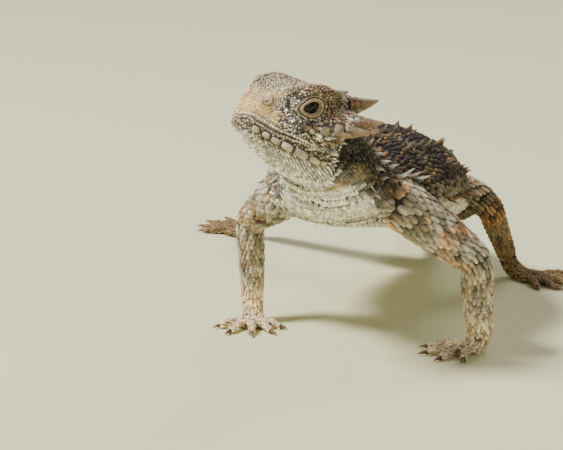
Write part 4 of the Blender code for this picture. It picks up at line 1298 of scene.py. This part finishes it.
# Large flat plates of the left temple: centre, half-length, half-width and colour.
templePlates = (((-2.3, 6.4, -2.3), 0.62, 0.56, "temple"), ((-3.8, 6.8, -1.75), 0.62, 0.8, "temple"),
                ((-1.2, 6.2, -2.75), 0.4, 0.34, "crown"), ((-0.5, 5.9, -2.7), 0.36, 0.3, "temple"),
                ((-2.3, 6.4, -1.25), 0.36, 0.3, "temple"), ((-3.9, 6.6, -3.4), 0.4, 0.32, "temple"),
                ((-2.9, 6.5, -3.6), 0.34, 0.28, "crown"))
platePlan = {"chinFall": -0.22, "rim": 0.24, "largeFrom": 0.6, "lipOffset": 0.22, "browStep": 0.62}


def besideHead(at, side):
    # the place of the skin that lies straight outward from a point of the head
    start = inHead((at[0], 12.0 * side, at[2]))
    place, normal, face, _ = skinTree.ray_cast(Vector(start), Vector(-headLeft * side))
    return np.array(place), np.array(normal), faceVertex[face]


def underPlates(half):
    # the skin that a chin shield or a temple plate covers, with the rim around it where no small scales grow
    # and the darkened skin shows as a painted shade outline
    rim = platePlan["rim"]
    plates = [(skinTree.find_nearest(Vector(inHead(at)))[0],
               unit(np.array((-1.0, turn, platePlan["chinFall"]))), long, wide)
              for at, turn, long, wide in chinShields]
    plates += [(besideHead(at, 1)[0], np.array((-1.0, 0.0, 0.0)), long, wide)
               for at, long, wide, _ in templePlates]
    covered = np.zeros(len(half), bool)
    for place, lie, long, wide in plates:
        offset = half - toHead(np.array(place))
        along = offset @ lie
        aside = np.linalg.norm(offset - along[:, None] * lie, axis=1)
        covered |= (along / (long + rim)) ** 2 + (aside / (wide + rim)) ** 2 < 1.0
    return covered


def hornRoots():
    # the skin round the roots of the horns
    near = np.zeros(len(skin["part"]), bool)
    for side in (1, -1):
        for root, tip, radius, cut, _ in hornPlan.values():
            line = hornLine(root, tip, side)
            reach = nearLine(skin["points"], [line(t) for t in np.linspace(-0.1, cut + 0.2, 8)])
            near |= reach < radius + 0.35
    return near


def zoneMasks():
    part, along, angle = skin["part"], skin["along"], skin["angle"]
    eye, mouth, above = skin["eye"], skin["mouth"], skin["above"] > 0.5
    half = halfHead(skin["head"])
    f, l, u = half.T
    head = skin["isHead"] >= 0.5
    skin["covered"] = underPlates(half)
    temple = head & hornRoots()
    clear = (eye > 0.86) & (mouth > 0.42) & (skin["nostril"] > 1.0) & ~skin["covered"]
    top = head & above & clear & ~temple
    side = (u <= 0.8) & (l >= 4.2)
    leg = (part >= parts["leg"]) & (part < parts["sole"]) & ~head
    onLeg = np.zeros(len(part), bool)
    for n, name in enumerate(legNames):
        onLeg |= leg & (part == parts["leg"] + n) & (along > legLines[name]["hip"])
    zones = {
        "zoneSnout": top & (f > 2.5),
        "zoneCrown": top & (f <= 2.5) & ~side,
        "zoneCheek": top & (f <= 2.5) & side,
        "zoneTemple": temple & clear,
        "zoneLip": head & ~above & ~skin["covered"] & (mouth > 0.45) & (mouth < 1.75) & (f > -5.5),
        "zoneBack": ((part == parts["body"]) & ~head & (along > 0.3) & (along <= station["vent"])
                     & (angle < 98)),
        "zoneFoot": (part >= parts["sole"]) & (part < parts["digit"]),
        "zoneLimb": leg & ~onLeg,
    }
    return {name: mask.astype(float) for name, mask in zones.items()}


# Scattered coats: zone, shape, least distance, half-length, half-width and height of a scale, how
# much they differ in size, seed and slot.
scatterPlan = {
    "scalesSnout": ("zoneSnout", "pebble", 0.24, (0.16, 0.16, 0.07), 0.14, 3, "skin_head"),
    "scalesCrown": ("zoneCrown", "pebble", 0.29, (0.195, 0.175, 0.25), 0.32, 4, "skin_head"),
    "scalesCheek": ("zoneCheek", "pebble", 0.23, (0.165, 0.145, 0.26), 0.4, 6, "skin_head"),
    "scalesLip": ("zoneLip", "pebble", 0.24, (0.17, 0.155, 0.2), 0.3, 13, "skin_head"),
    "scalesTemple": ("zoneTemple", "keeled", 0.42, (0.34, 0.27, 0.3), 0.25, 12, "skin_head"),
    "scalesBack": ("zoneBack", "keeled", 0.74, (0.46, 0.4, 0.34), 0.25, 7, "skin_back"),
    "scalesShoulders": ("zoneLimb", "keeled", 0.6, (0.52, 0.42, 0.34), 0.2, 8, "skin_pale"),
    "scalesHands": ("zoneFoot", "keeled", 0.4, (0.37, 0.3, 0.24), 0.15, 9, "skin_pale"),
}


def growPebbles():
    zones = zoneMasks()
    mesh = skin["mesh"].copy()
    pigment = np.column_stack([skin["pigment"], skin["vary"]])
    writeAttributes(mesh, {"lie": skin["lie"], "pigment": pigment, "blush": skin["blush"],
                           "chart": skin["chart"], "size": np.ones((len(pigment), 3)), **zones})
    work = addObject("pebbleWork", mesh)
    size = mesh.attributes["size"].data
    for name, (zone, shape, spacing, sizes, spread, seed, slot) in scatterPlan.items():
        size.foreach_set("vector", np.tile(np.array(sizes, np.float32), len(pigment)))
        grow(name, work, scatterTree, {"Scale Shape": scaleShapes[shape], "Finish": scaleFinish, "Zone": zone,
                                       "Spacing": spacing, "Size Spread": spread, "Seed": seed}, slot)
    bpy.data.objects.remove(work)


growPebbles()
bodyOnly = {parts["body"]}
headOnly = {parts["head"], parts["lid"], parts["lid"] + 1}

# Belly and throat: half-width of a scale and step between rows at three stations, a scale's
# shape, how far round the rows reach, and scales in a row before and behind the neck's root.
bellyPlan = {"marks": (station["nape"], station["shoulder"], station["vent"]), "width": (0.36, 0.56, 0.5),
             "step": (0.5, 0.82, 0.74), "shape": (1.15, 0.8, 0.85), "spread": math.radians(86),
             "columns": (40, 36)}


def growBelly():
    rows = newRows()
    marks, spread = bellyPlan["marks"], bellyPlan["spread"]

    def size(s, angle):
        wide = np.interp(s, marks, bellyPlan["width"])
        return tuple(wide * share for share in bellyPlan["shape"])

    s, alongs = 0.6, []
    while s < station["vent"] + 0.5:
        alongs.append(s)
        s += np.interp(s, marks, bellyPlan["step"])
    onNeck = [s for s in alongs if s < station["neckRoot"]]
    for part, columns in zip((onNeck, alongs[len(onNeck):]), bellyPlan["columns"]):
        angles = np.linspace(math.pi - spread, math.pi + spread, columns)
        latticeRows(rows, bodyPoint, bodyAlong, part, angles, bodyOnly, size)
    growRows("scalesBelly", rows, "smooth", 0.08, "skin_pale")


# Fringes of the throat's folds: place along the body, size and degrees from the ridge of each,
# degrees from scale to scale, and a scale's shape.
gularPlan = {"fringes": ((0.75, 0.6, 104), (station["nape"] + 0.6, 0.52, 112),
                         (station["neckRoot"] + 0.9, 0.5, 116)),
             "step": 3.6, "shape": (1.25, 0.5, 0.8), "lean": 0.35}


def growGularRow():
    # pale pointed scales fringe the folds of the throat
    rows = newRows()
    draw = np.random.default_rng(31)
    for s, size, low in gularPlan["fringes"]:
        for degrees in np.arange(low, 361 - low, gularPlan["step"]):
            angle = math.radians(degrees + draw.uniform(-1, 1))
            point = bodyPoint(s + draw.uniform(-0.15, 0.15), angle)
            found = settle(point, {parts["body"], parts["head"]}, 1.2)
            if found:
                place, normal, vertex = found
                along = bodyAlong(s)
                long = size * draw.uniform(0.75, 1.15)
                addScale(rows, place, unit(normal - along * gularPlan["lean"]), along + normal * 0.25,
                         tuple(long * share for share in gularPlan["shape"]), vertex,
                         coatColours["throat"] * 0.72, 0.5, 0.0)
    growRows("scalesGular", rows, "keeled", 0.0, "skin_pale")


# Scales of the tail: scales in a row where it is thin and elsewhere, and a scale's length, width,
# height and step from row to row.
tailPlan = {"thin": 1.6, "columns": (12, 20), "long": 1.3, "wide": 0.98, "tall": 0.8, "step": 1.35}


def growTail():
    rows = newRows()
    s = station["vent"] + 0.4
    while s < bodyKnots[-1] - 0.3:
        width = bodyFrame(s)[4][0]
        half = 0.3 + 0.085 * width
        columns = tailPlan["columns"][0 if width < tailPlan["thin"] else 1]
        shift = (len(rows["co"]) % 2) * math.pi / columns
        size = (half * tailPlan["long"], math.pi * width / columns * tailPlan["wide"],
                half * tailPlan["tall"])
        latticeRows(rows, bodyPoint, bodyAlong, [s], np.linspace(0, 2 * math.pi, columns, False) + shift,
                    bodyOnly, size)
        s += half * tailPlan["step"]
    growRows("scalesTail", rows, "keeled", 0.08, "skin_back")


# Scales of the legs: scales in a row, half-length at three places down the leg, a scale's least
# and greatest length, width, height and step, and how far it strays along and around.
limbPlan = {"columns": 18, "marks": (0.2, 0.6, 1.0), "half": (0.58, 0.5, 0.38), "long": (1.25, 1.6),
            "wide": 1.12, "tall": 0.85, "step": 1.42, "stray": (0.12, 0.05)}


def growLimbs():
    draw = np.random.default_rng(17)
    columns, (strayAlong, strayAround) = limbPlan["columns"], limbPlan["stray"]
    for n, leg in enumerate(legNames):
        rows, line = newRows(), legLines[leg]
        s, index = line["hip"] * 0.4, 0

        def strayed(t, angle):
            return legPoint(leg, t + draw.uniform(-strayAlong, strayAlong),
                            angle + draw.uniform(-strayAround, strayAround))

        def size(t, angle):
            return (half * draw.uniform(*limbPlan["long"]), math.pi * radius / columns * limbPlan["wide"],
                    half * limbPlan["tall"])

        while s < line["ankle"] - 0.2:
            radius = line["radius"](s)
            half = np.interp(s / line["ankle"], limbPlan["marks"], limbPlan["half"])
            angles = np.linspace(0, 2 * math.pi, columns, False) + (index % 2) * math.pi / columns
            latticeRows(rows, strayed, line["along"], [s], angles, {parts["leg"] + n}, size)
            s += half * limbPlan["step"]
            index += 1
        growRows("scales" + leg[0].upper() + leg[1:], rows, "keeled", 0.1, "skin_pale")


digitScales = {"around": 7, "step": 0.42, "size": (0.34, 0.26, 0.16)}


def growDigits():
    rows = newRows()
    around = digitScales["around"]
    for n, leg in enumerate(legNames):
        for index in range(5):
            base, direction, full = digitPlan(leg, index)
            across = np.cross(up, direction)
            steps = int(full * 0.8 / digitScales["step"])
            for i in range(steps):
                t = 0.12 + (toePlan["clawStart"] - 0.1) * i / steps
                centre = digitCentre(base, direction, full, t, toePlan["radius"])
                for k in range(around):
                    angle = 2 * math.pi * (k + (i % 2) * 0.5) / around
                    ray = math.cos(angle) * across + math.sin(angle) * up
                    settleScale(rows, centre + ray * toePlan["radius"], {parts["digit"] + 5 * n + index}, 0.5,
                                direction, digitScales["size"])
    growRows("scalesDigits", rows, "keeled", 0.08, "skin_pale")


growBelly()
growGularRow()
growTail()
growLimbs()
growDigits()

# Scales under the head: first and last row and the step between rows, spacing before and behind
# the eye, and a scale's size.
throatPlan = {"front": 4.6, "rear": -6.6, "step": 0.46, "spacing": (0.29, 0.31), "size": (0.25, 0.15, 0.55)}


def growThroat():
    rows = newRows()
    f, index = throatPlan["front"], 0
    while f > throatPlan["rear"]:
        _, under = headOutline(f, 4, 60)
        half = np.concatenate([under[::-1] * (-1, 1), under[1:]])
        knots = chordKnots(half)
        width = throatPlan["spacing"][0 if f > 0 else 1]
        count = int(knots[-1] / (width * 1.8))
        for k in range(count):
            t = (k + (index % 2) * 0.5) / count * knots[-1]
            l, u = spline(knots, half, t)
            found = settle(inHead((f, l, u)), headOnly | bodyOnly, 0.8)
            if found and skin["mouth"][found[2]] > 1.5 + 0.25 * (f < 0) and not skin["covered"][found[2]]:
                addScale(rows, found[0], found[1], -headAhead, throatPlan["size"], found[2])
        f -= throatPlan["step"]
        index += 1
    growRows("scalesThroat", rows, "keeled", 0.1, "skin_head")


def alongLine(line, step):
    # places at even steps along a line, each with the direction of the line there
    knots = chordKnots(line)
    count = int(knots[-1] / step)
    for i in range(count):
        t = (i + 0.5) / count * knots[-1]
        a = spline(knots, line, t)
        b = spline(knots, line, min(t + 0.3, knots[-1]))
        yield a, unit(b - a + 1e-9)


def headWay(way, side):
    # a direction given for the left half of the head, on either side of it
    return headSide(way, side) - inHead((0, 0, 0))


def growPlates():
    # lip plates, chin shields, brow ridges and the plates of the temple, on both sides
    rows, shields = newRows(), newRows()
    offset, temple = platePlan["lipOffset"], coatColours["temple"]
    for side in (1, -1):
        # the row above the mouth is lightened as a painted highlight along the upper lip, and the row below
        # is darkened as painted shade under it
        for rise, tone, size in ((offset, coatColours["lip"] * 1.45, (0.22, 0.17, 0.22)),
                                 (-offset, coatColours["lip"] * 0.85, (0.22, 0.17, 0.2))):
            for at, along in alongLine(headLines["mouth"], size[0] * 1.8):
                settleScale(rows, headSide(at + (0, 0, rise), side), headOnly, 0.9, headWay(along, side),
                            size, tone, 0.45, 0.06)
        # the shields are long and close together, and grow towards the rear of the jaw
        for centre, turn, half, wide in chinShields:
            found = settle(headSide(centre, side), headOnly, 1.2)
            if found:
                outward = unit(found[1] + headLeft * side * 0.2 + headCrown * 0.3)
                rear = headWay((-1.0, turn, platePlan["chinFall"]), side)
                addScale(shields, found[0] + outward * 0.04, outward, rear, (half, wide, 0.8), found[2],
                         coatColours["chin"], 0.2, 0.0)
        for at, half, wide, colour in templePlates:
            place, normal, vertex = besideHead(at, side)
            addScale(shields if half > platePlan["largeFrom"] else rows, place + normal * 0.05,
                     unit(normal + headLeft * side * 0.5), -headAhead, (half, wide, 0.72), vertex,
                     coatColours[colour] * 0.7, 0.3, 0.1)
        for at, along in alongLine(headLines["brow"], platePlan["browStep"]):
            settleScale(rows, headSide(at, side), headOnly, 1.0, headWay(along, side), (0.42, 0.34, 0.34),
                        temple, 0.4, 0.25)
    growRows("platesHead", rows, "plate", 0.06, "skin_head")
    growRows("shieldsChin", shields, "shield", 0.0, "skin_head")


growThroat()
growPlates()

# Spines of the body: first and last station, degrees from the ridge, how many a side, lengths
# at the two ends, radius, and how far they lean back.
spineRows = (
    ("shoulder", "waist", 96, 26, (1.8, 1.5), 0.5, 0.5),
    ("neckRoot", "shoulder", 74, 4, (2.1, 2.0), 0.6, 0.6),
    ("neckRoot", "hip", 19, 15, (1.5, 1.4), 0.62, 0.75), ("shoulder", "waist", 43, 11, (1.7, 1.4), 0.62, 0.7),
    ("chest", "waist", 68, 10, (1.4, 1.2), 0.52, 0.7), ("vent", "tail4", 84, 13, (1.3, 0.8), 0.42, 0.7),
    ("vent", "tail4", 34, 10, (1.1, 0.7), 0.42, 0.8), ("nape", "neckRoot", 62, 3, (1.5, 1.5), 0.5, 0.6),
    ("nape", "neckRoot", 88, 3, (1.7, 1.6), 0.5, 0.6), ("nape", "neckRoot", 112, 3, (1.5, 1.4), 0.48, 0.6),
)
spikeHeight = 2.1   # of the shapes spike and blade, before a scale's own size

# Large pointed plates of the head's left side: root, tip, half-length along the head,
# half-thickness and colour.
headSpines = (((-2.6, 5.2, 2.1), (-4.9, 6.2, 2.95), 0.8, 0.5, "temple"),
              ((-1.9, 6.2, -2.9), (-3.1, 7.6, -2.1), 1.15, 0.7, "chin"),
              ((-3.0, 6.6, -2.5), (-4.6, 8.4, -1.4), 1.25, 0.8, "throat"),
              ((-4.4, 6.8, -2.0), (-6.3, 9.3, -1.6), 1.25, 0.75, "throat"),
              ((-0.1, 5.7, -2.7), (-0.9, 6.8, -2.4), 0.6, 0.45, "temple"),
              ((-4.6, 6.2, -3.0), (-6.3, 7.4, -3.0), 0.8, 0.5, "temple"),
              ((-4.3, 6.4, -4.4), (-5.6, 7.3, -4.7), 0.6, 0.45, "cheek"),
              ((-4.9, 1.0, 0.9), (-7.6, 1.2, 2.2), 0.65, 0.5, "temple"))


def growHeadSpines():
    rows = newRows()
    for root, tip, long, thick, colour in headSpines:
        for side in (1, -1):
            a, b = headSide(root, side), headSide(tip, side)
            axis = unit(b - a)
            lie = unit(-headAhead + axis * (headAhead @ axis))
            found = settle(a, headOnly | bodyOnly, 3.0)
            tall = (np.linalg.norm(b - a) - 0.4) / spikeHeight
            addScale(rows, a + axis * 0.4, axis, lie, (long, thick, tall), found[2] if found else 0,
                     coatColours[colour] * 1.1, 0.2, 0.2)
    growRows("bladesHead", rows, "blade", 0.0, "skin_head")


# The ring of small scales round the foot of a spine, in shares of the spine's radius.
rosettePlan = {"count": 7, "reach": 1.45, "size": (0.72, 0.55, 0.6), "lean": 0.35}


def growSpines():
    draw = np.random.default_rng(7)
    spikes, rosettes = newRows(), newRows()
    for first, last, degrees, count, lengths, radius, lean in spineRows:
        colour = coatColours["backPale"] * (1.3 if degrees > 60 else 1.0)
        if first != "shoulder" and degrees > 60 and last in ("shoulder", "neckRoot"):
            colour = coatColours["belly"] * 0.85
        for side in (1, -1):
            for i in range(count):
                t = (i + 0.5 + draw.uniform(-0.2, 0.2)) / count
                s = station[first] + (station[last] - station[first]) * t
                angle = math.radians(degrees + draw.uniform(-4, 4)) * side
                length = (lengths[0] + (lengths[1] - lengths[0]) * t) * draw.uniform(0.8, 1.12)
                found = settle(bodyPoint(s, angle), bodyOnly, 0.7)
                if not found:
                    continue
                place, normal, vertex = found
                along = bodyAlong(s)
                addScale(spikes, place, unit(normal + along * lean * 0.5), along,
                         (radius, radius * 0.9, length / spikeHeight), vertex, colour, 0.35, 0.3)
                for k in range(rosettePlan["count"]):
                    turn = 2 * math.pi * (k + 0.5) / rosettePlan["count"]
                    ray = math.cos(turn) * along + math.sin(turn) * unit(np.cross(normal, along))
                    near = settle(place + ray * radius * rosettePlan["reach"], bodyOnly, 0.6)
                    if near:
                        addScale(rosettes, near[0], unit(near[1] + ray * rosettePlan["lean"]),
                                 ray + along * 0.6, tuple(radius * share for share in rosettePlan["size"]),
                                 near[2], None, 0.5, 0.2)
    growHeadSpines()
    growRows("spinesBody", spikes, "spike", 0.0, "skin_back")
    growRows("rosettes", rosettes, "keeled", 0.12, "skin_back")


growSpines()


def closedMesh(name, points, faces):
    # a mesh whose faces are all turned outward
    mesh = meshFrom(name, points, faces)
    bm = bmesh.new()
    bm.from_mesh(mesh)
    bmesh.ops.recalc_face_normals(bm, faces=bm.faces)
    bm.to_mesh(mesh)
    bm.free()
    return mesh


# Skin of the horns: points round and rings along, flutes, growth rings, and the flare at the root.
hornSkin = {"around": 36, "rings": 56, "start": 0.1, "taper": 0.72, "flutes": 9, "fluteDepth": 0.055,
            "growthPitch": 46, "growthDepth": 0.045, "flare": 0.12, "lump": 0.16,
            "deep": dye(58, 47, 34), "warm": dye(98, 80, 58), "pale": dye(152, 128, 98)}


def hornSurface(line, radius, tall):
    # points and colours of one horn, ring after ring from its root
    axis = unit(line(1.0) - line(0.0))
    along = unit(np.cross(np.cross(axis, headCrown), axis))
    across = np.cross(axis, along)
    deep, warm, pale = hornSkin["deep"], hornSkin["warm"], hornSkin["pale"]
    fluted = hornSkin["fluteDepth"]
    points, colours = [], []
    for t in np.linspace(hornSkin["start"], 1.0, hornSkin["rings"]):
        centre = line(t)
        size = radius * (1 - t) ** hornSkin["taper"] + 0.03
        rough = smooth(0.85, 0.45, t)
        for k in range(hornSkin["around"]):
            turn = 2 * math.pi * k / hornSkin["around"]
            flute = fluted * math.sin(turn * hornSkin["flutes"] + 2 * math.sin(t * 3)) * smooth(0.95, 0.5, t)
            growth = math.sin(t * hornSkin["growthPitch"] + 0.6 * math.sin(turn))
            growth = hornSkin["growthDepth"] * growth * smooth(0.8, 0.3, t)
            flare = hornSkin["flare"] * smooth(0.42, 0.3, t) * (1 + 0.4 * math.sin(turn * 7))
            spot = centre + (along * math.cos(turn) * tall + across * math.sin(turn)) * size
            lump, patch = noise.noise(Vector(spot * 2.6)), noise.noise(Vector(spot * 1.4 + 9.0))
            swell = 1 + flute + growth + flare + hornSkin["lump"] * lump * rough
            points.append(centre + (spot - centre) * swell)
            tone = deep + (warm - deep) * smooth(0.3, 0.55, t) + (pale - warm) * smooth(0.55, 0.95, t)
            tone = tone + (coatColours["rust"] * 0.8 - tone) * smooth(0.05, 0.3, patch) * rough * 0.7
            tone = tone + (coatColours["crown"] * 0.6 - tone) * smooth(-0.05, -0.3, patch) * rough * 0.6
            # the colour is darkened in the grooves of the flutes, growth rings and lumps and lightened on
            # their ridges, painted shade and painted light that follow the relief
            colours.append((*(tone * (1 + flute * 4 + growth * 5 + 0.8 * lump * rough)), 1.0))
    return points, colours


def makeHorns():
    faces = loftFaces(0, hornSkin["rings"], hornSkin["around"])
    for name, (root, tip, radius, _, tall) in hornPlan.items():
        for side, label in ((1, "left"), (-1, "right")):
            points, colours = hornSurface(hornLine(root, tip, side), radius, tall)
            node = "horn_%s_%s" % (name, label)
            keepClosed(node + "_skin", closedMesh("horn", points, faces), {"pigment": colours}, hornFinish,
                       "horn", [node])


eyeSkin = {"around": 48, "rings": 30, "black": dye(6, 5, 4), "iris": dye(26, 17, 11), "fibres": 17}


def makeEyes():
    around, rings, black = eyeSkin["around"], eyeSkin["rings"], eyeSkin["black"]
    for side, label in ((1, "left"), (-1, "right")):
        points, colours = [], []
        for k in range(rings):
            turn = math.pi * (k + 0.3) / rings
            for j in range(around):
                a = 2 * math.pi * j / around
                ray = np.array((math.sin(turn) * math.cos(a), math.cos(turn), math.sin(turn) * math.sin(a)))
                points.append(headSide(eyePlan["centre"] + ray * eyeRadius(turn), side))
                iris = smooth(0.34, 0.42, turn) * smooth(0.66, 0.6, turn)
                fibre = 0.75 + 0.25 * math.sin(a * eyeSkin["fibres"] + 3 * math.sin(a * 5))
                colours.append((*(black + (eyeSkin["iris"] * fibre - black) * iris), 1.0))
        mesh = closedMesh("eyeball", points, loftFaces(0, rings, around))
        keepClosed("eyeball_" + label, mesh, {"pigment": colours}, eyeFinish, "eye", ["eye_" + label])


clawPlan = {"around": 10, "rings": 9, "root": dye(74, 58, 40), "tip": dye(150, 126, 96), "taper": 0.7,
            "arch": 0.16, "drop": 0.12, "flat": 0.8}


def makeClaws():
    around, rings, start = clawPlan["around"], clawPlan["rings"], toePlan["clawStart"]
    points, faces, colours = [], [], []
    for leg in legNames:
        for index in range(5):
            base, direction, full = digitPlan(leg, index)
            across = np.cross(up, direction)
            faces += loftFaces(len(points), rings, around)
            for i in range(rings):
                w = i / (rings - 1)
                t = start - 0.04 + (1.04 - start) * w
                centre = digitCentre(base, direction, full, t, toePlan["radius"])
                centre = centre + up * (clawPlan["arch"] * math.sin(math.pi * w) - clawPlan["drop"] * w)
                radius = toePlan["clawRadius"] * (1 - w) ** clawPlan["taper"] + 0.03
                for k in range(around):
                    a = 2 * math.pi * k / around
                    ray = clawPlan["flat"] * math.cos(a) * across + math.sin(a) * up
                    points.append(centre + radius * ray)
                    colours.append((*(clawPlan["root"] + (clawPlan["tip"] - clawPlan["root"]) * w), 1.0))
    keepClosed("claws", closedMesh("claws", points, faces), {"pigment": colours}, hornFinish, "horn")


makeHorns()
makeEyes()
makeClaws()


def finishSkin():
    flesh = ["head", "jaw", "neck", "torso", "hips", "tail_base", "tail_middle", "tail_tip"]
    flesh += [part + side for part in ("upper_arm_", "forearm_", "hand_", "thigh_", "shank_", "foot_")
              for side in ("left", "right")]
    pigment = np.column_stack([skin["pigment"], skin["vary"]])
    keepClosed("lizardBody", skin["mesh"], {"pigment": pigment, "bare": skin["bare"]}, skinFinish,
               "skin_back", flesh)


finishSkin()
for shape in scaleShapes.values():
    bpy.data.objects.remove(shape)
print("coat done")

# Floor and sky, the camera at the photograph's angle, and lamps: place in metres from the lizard,
# power and size.
stagePlan = {"floor": dye(224, 222, 179), "floorHalf": 1.6, "sky": (0.86, 0.88, 0.84), "skyStrength": 0.3,
             "lens": 147.96, "camera": (84.85, -284.75, 84.8), "azimuth": 18.0, "elevation": 13.0,
             "lamps": {"keyLight": ((-0.4, -0.22, 0.6), 9.5, 0.16),
                       "fillLight": ((0.5, -0.45, 0.3), 0.8, 0.5),
                       "rearLight": ((0.1, 0.5, 0.5), 1.6, 0.3)}}


def setFloor():
    corners = ((-1, -1), (1, -1), (1, 1), (-1, 1))
    half, colour = stagePlan["floorHalf"], stagePlan["floor"]
    ground = meshFrom("floor", [(x * half, y * half, 0.0) for x, y in corners], [(0, 1, 2, 3)])
    material, tree, shader = startMaterial("paleFloor", "floor")
    cloud = addNode(tree, "ShaderNodeTexNoise", {"Scale": 14.0})
    fillNode(shader, {"Base Color": addRamp(tree, cloud.outputs["Fac"], colour * 0.94, colour)})
    ground.materials.append(material)
    addObject("floor", ground)


def setLight():
    world = bpy.data.worlds.new("studio")
    world.use_nodes = True
    fillNode(world.node_tree.nodes["Background"],
             {"Color": (*stagePlan["sky"], 1), "Strength": stagePlan["skyStrength"]})
    bpy.context.scene.world = world
    target = Vector(toRow((0.0, 0.0, 18.0)))
    for name, (place, power, size) in stagePlan["lamps"].items():
        light = bpy.data.lights.new(name, "AREA")
        light.energy, light.size = power, size
        lamp = addObject(name, light)
        lamp.location = target + Vector(place)
        lamp.rotation_euler = (-Vector(place)).to_track_quat("-Z", "Y").to_euler()


def setCamera():
    lens = bpy.data.cameras.new("photoView")
    lens.lens, lens.sensor_width, lens.sensor_fit = stagePlan["lens"], 36.0, "HORIZONTAL"
    lens.clip_start = 0.01
    camera = addObject("photoView", lens)
    a, e = math.radians(stagePlan["azimuth"]), math.radians(stagePlan["elevation"])
    aim = Vector((-math.sin(a) * math.cos(e), math.cos(a) * math.cos(e), -math.sin(e)))
    camera.location = Vector(toRow(stagePlan["camera"]))
    camera.rotation_euler = aim.to_track_quat("-Z", "Y").to_euler()
    bpy.context.scene.camera = camera


setFloor()
setLight()
setCamera()
print("stage set")
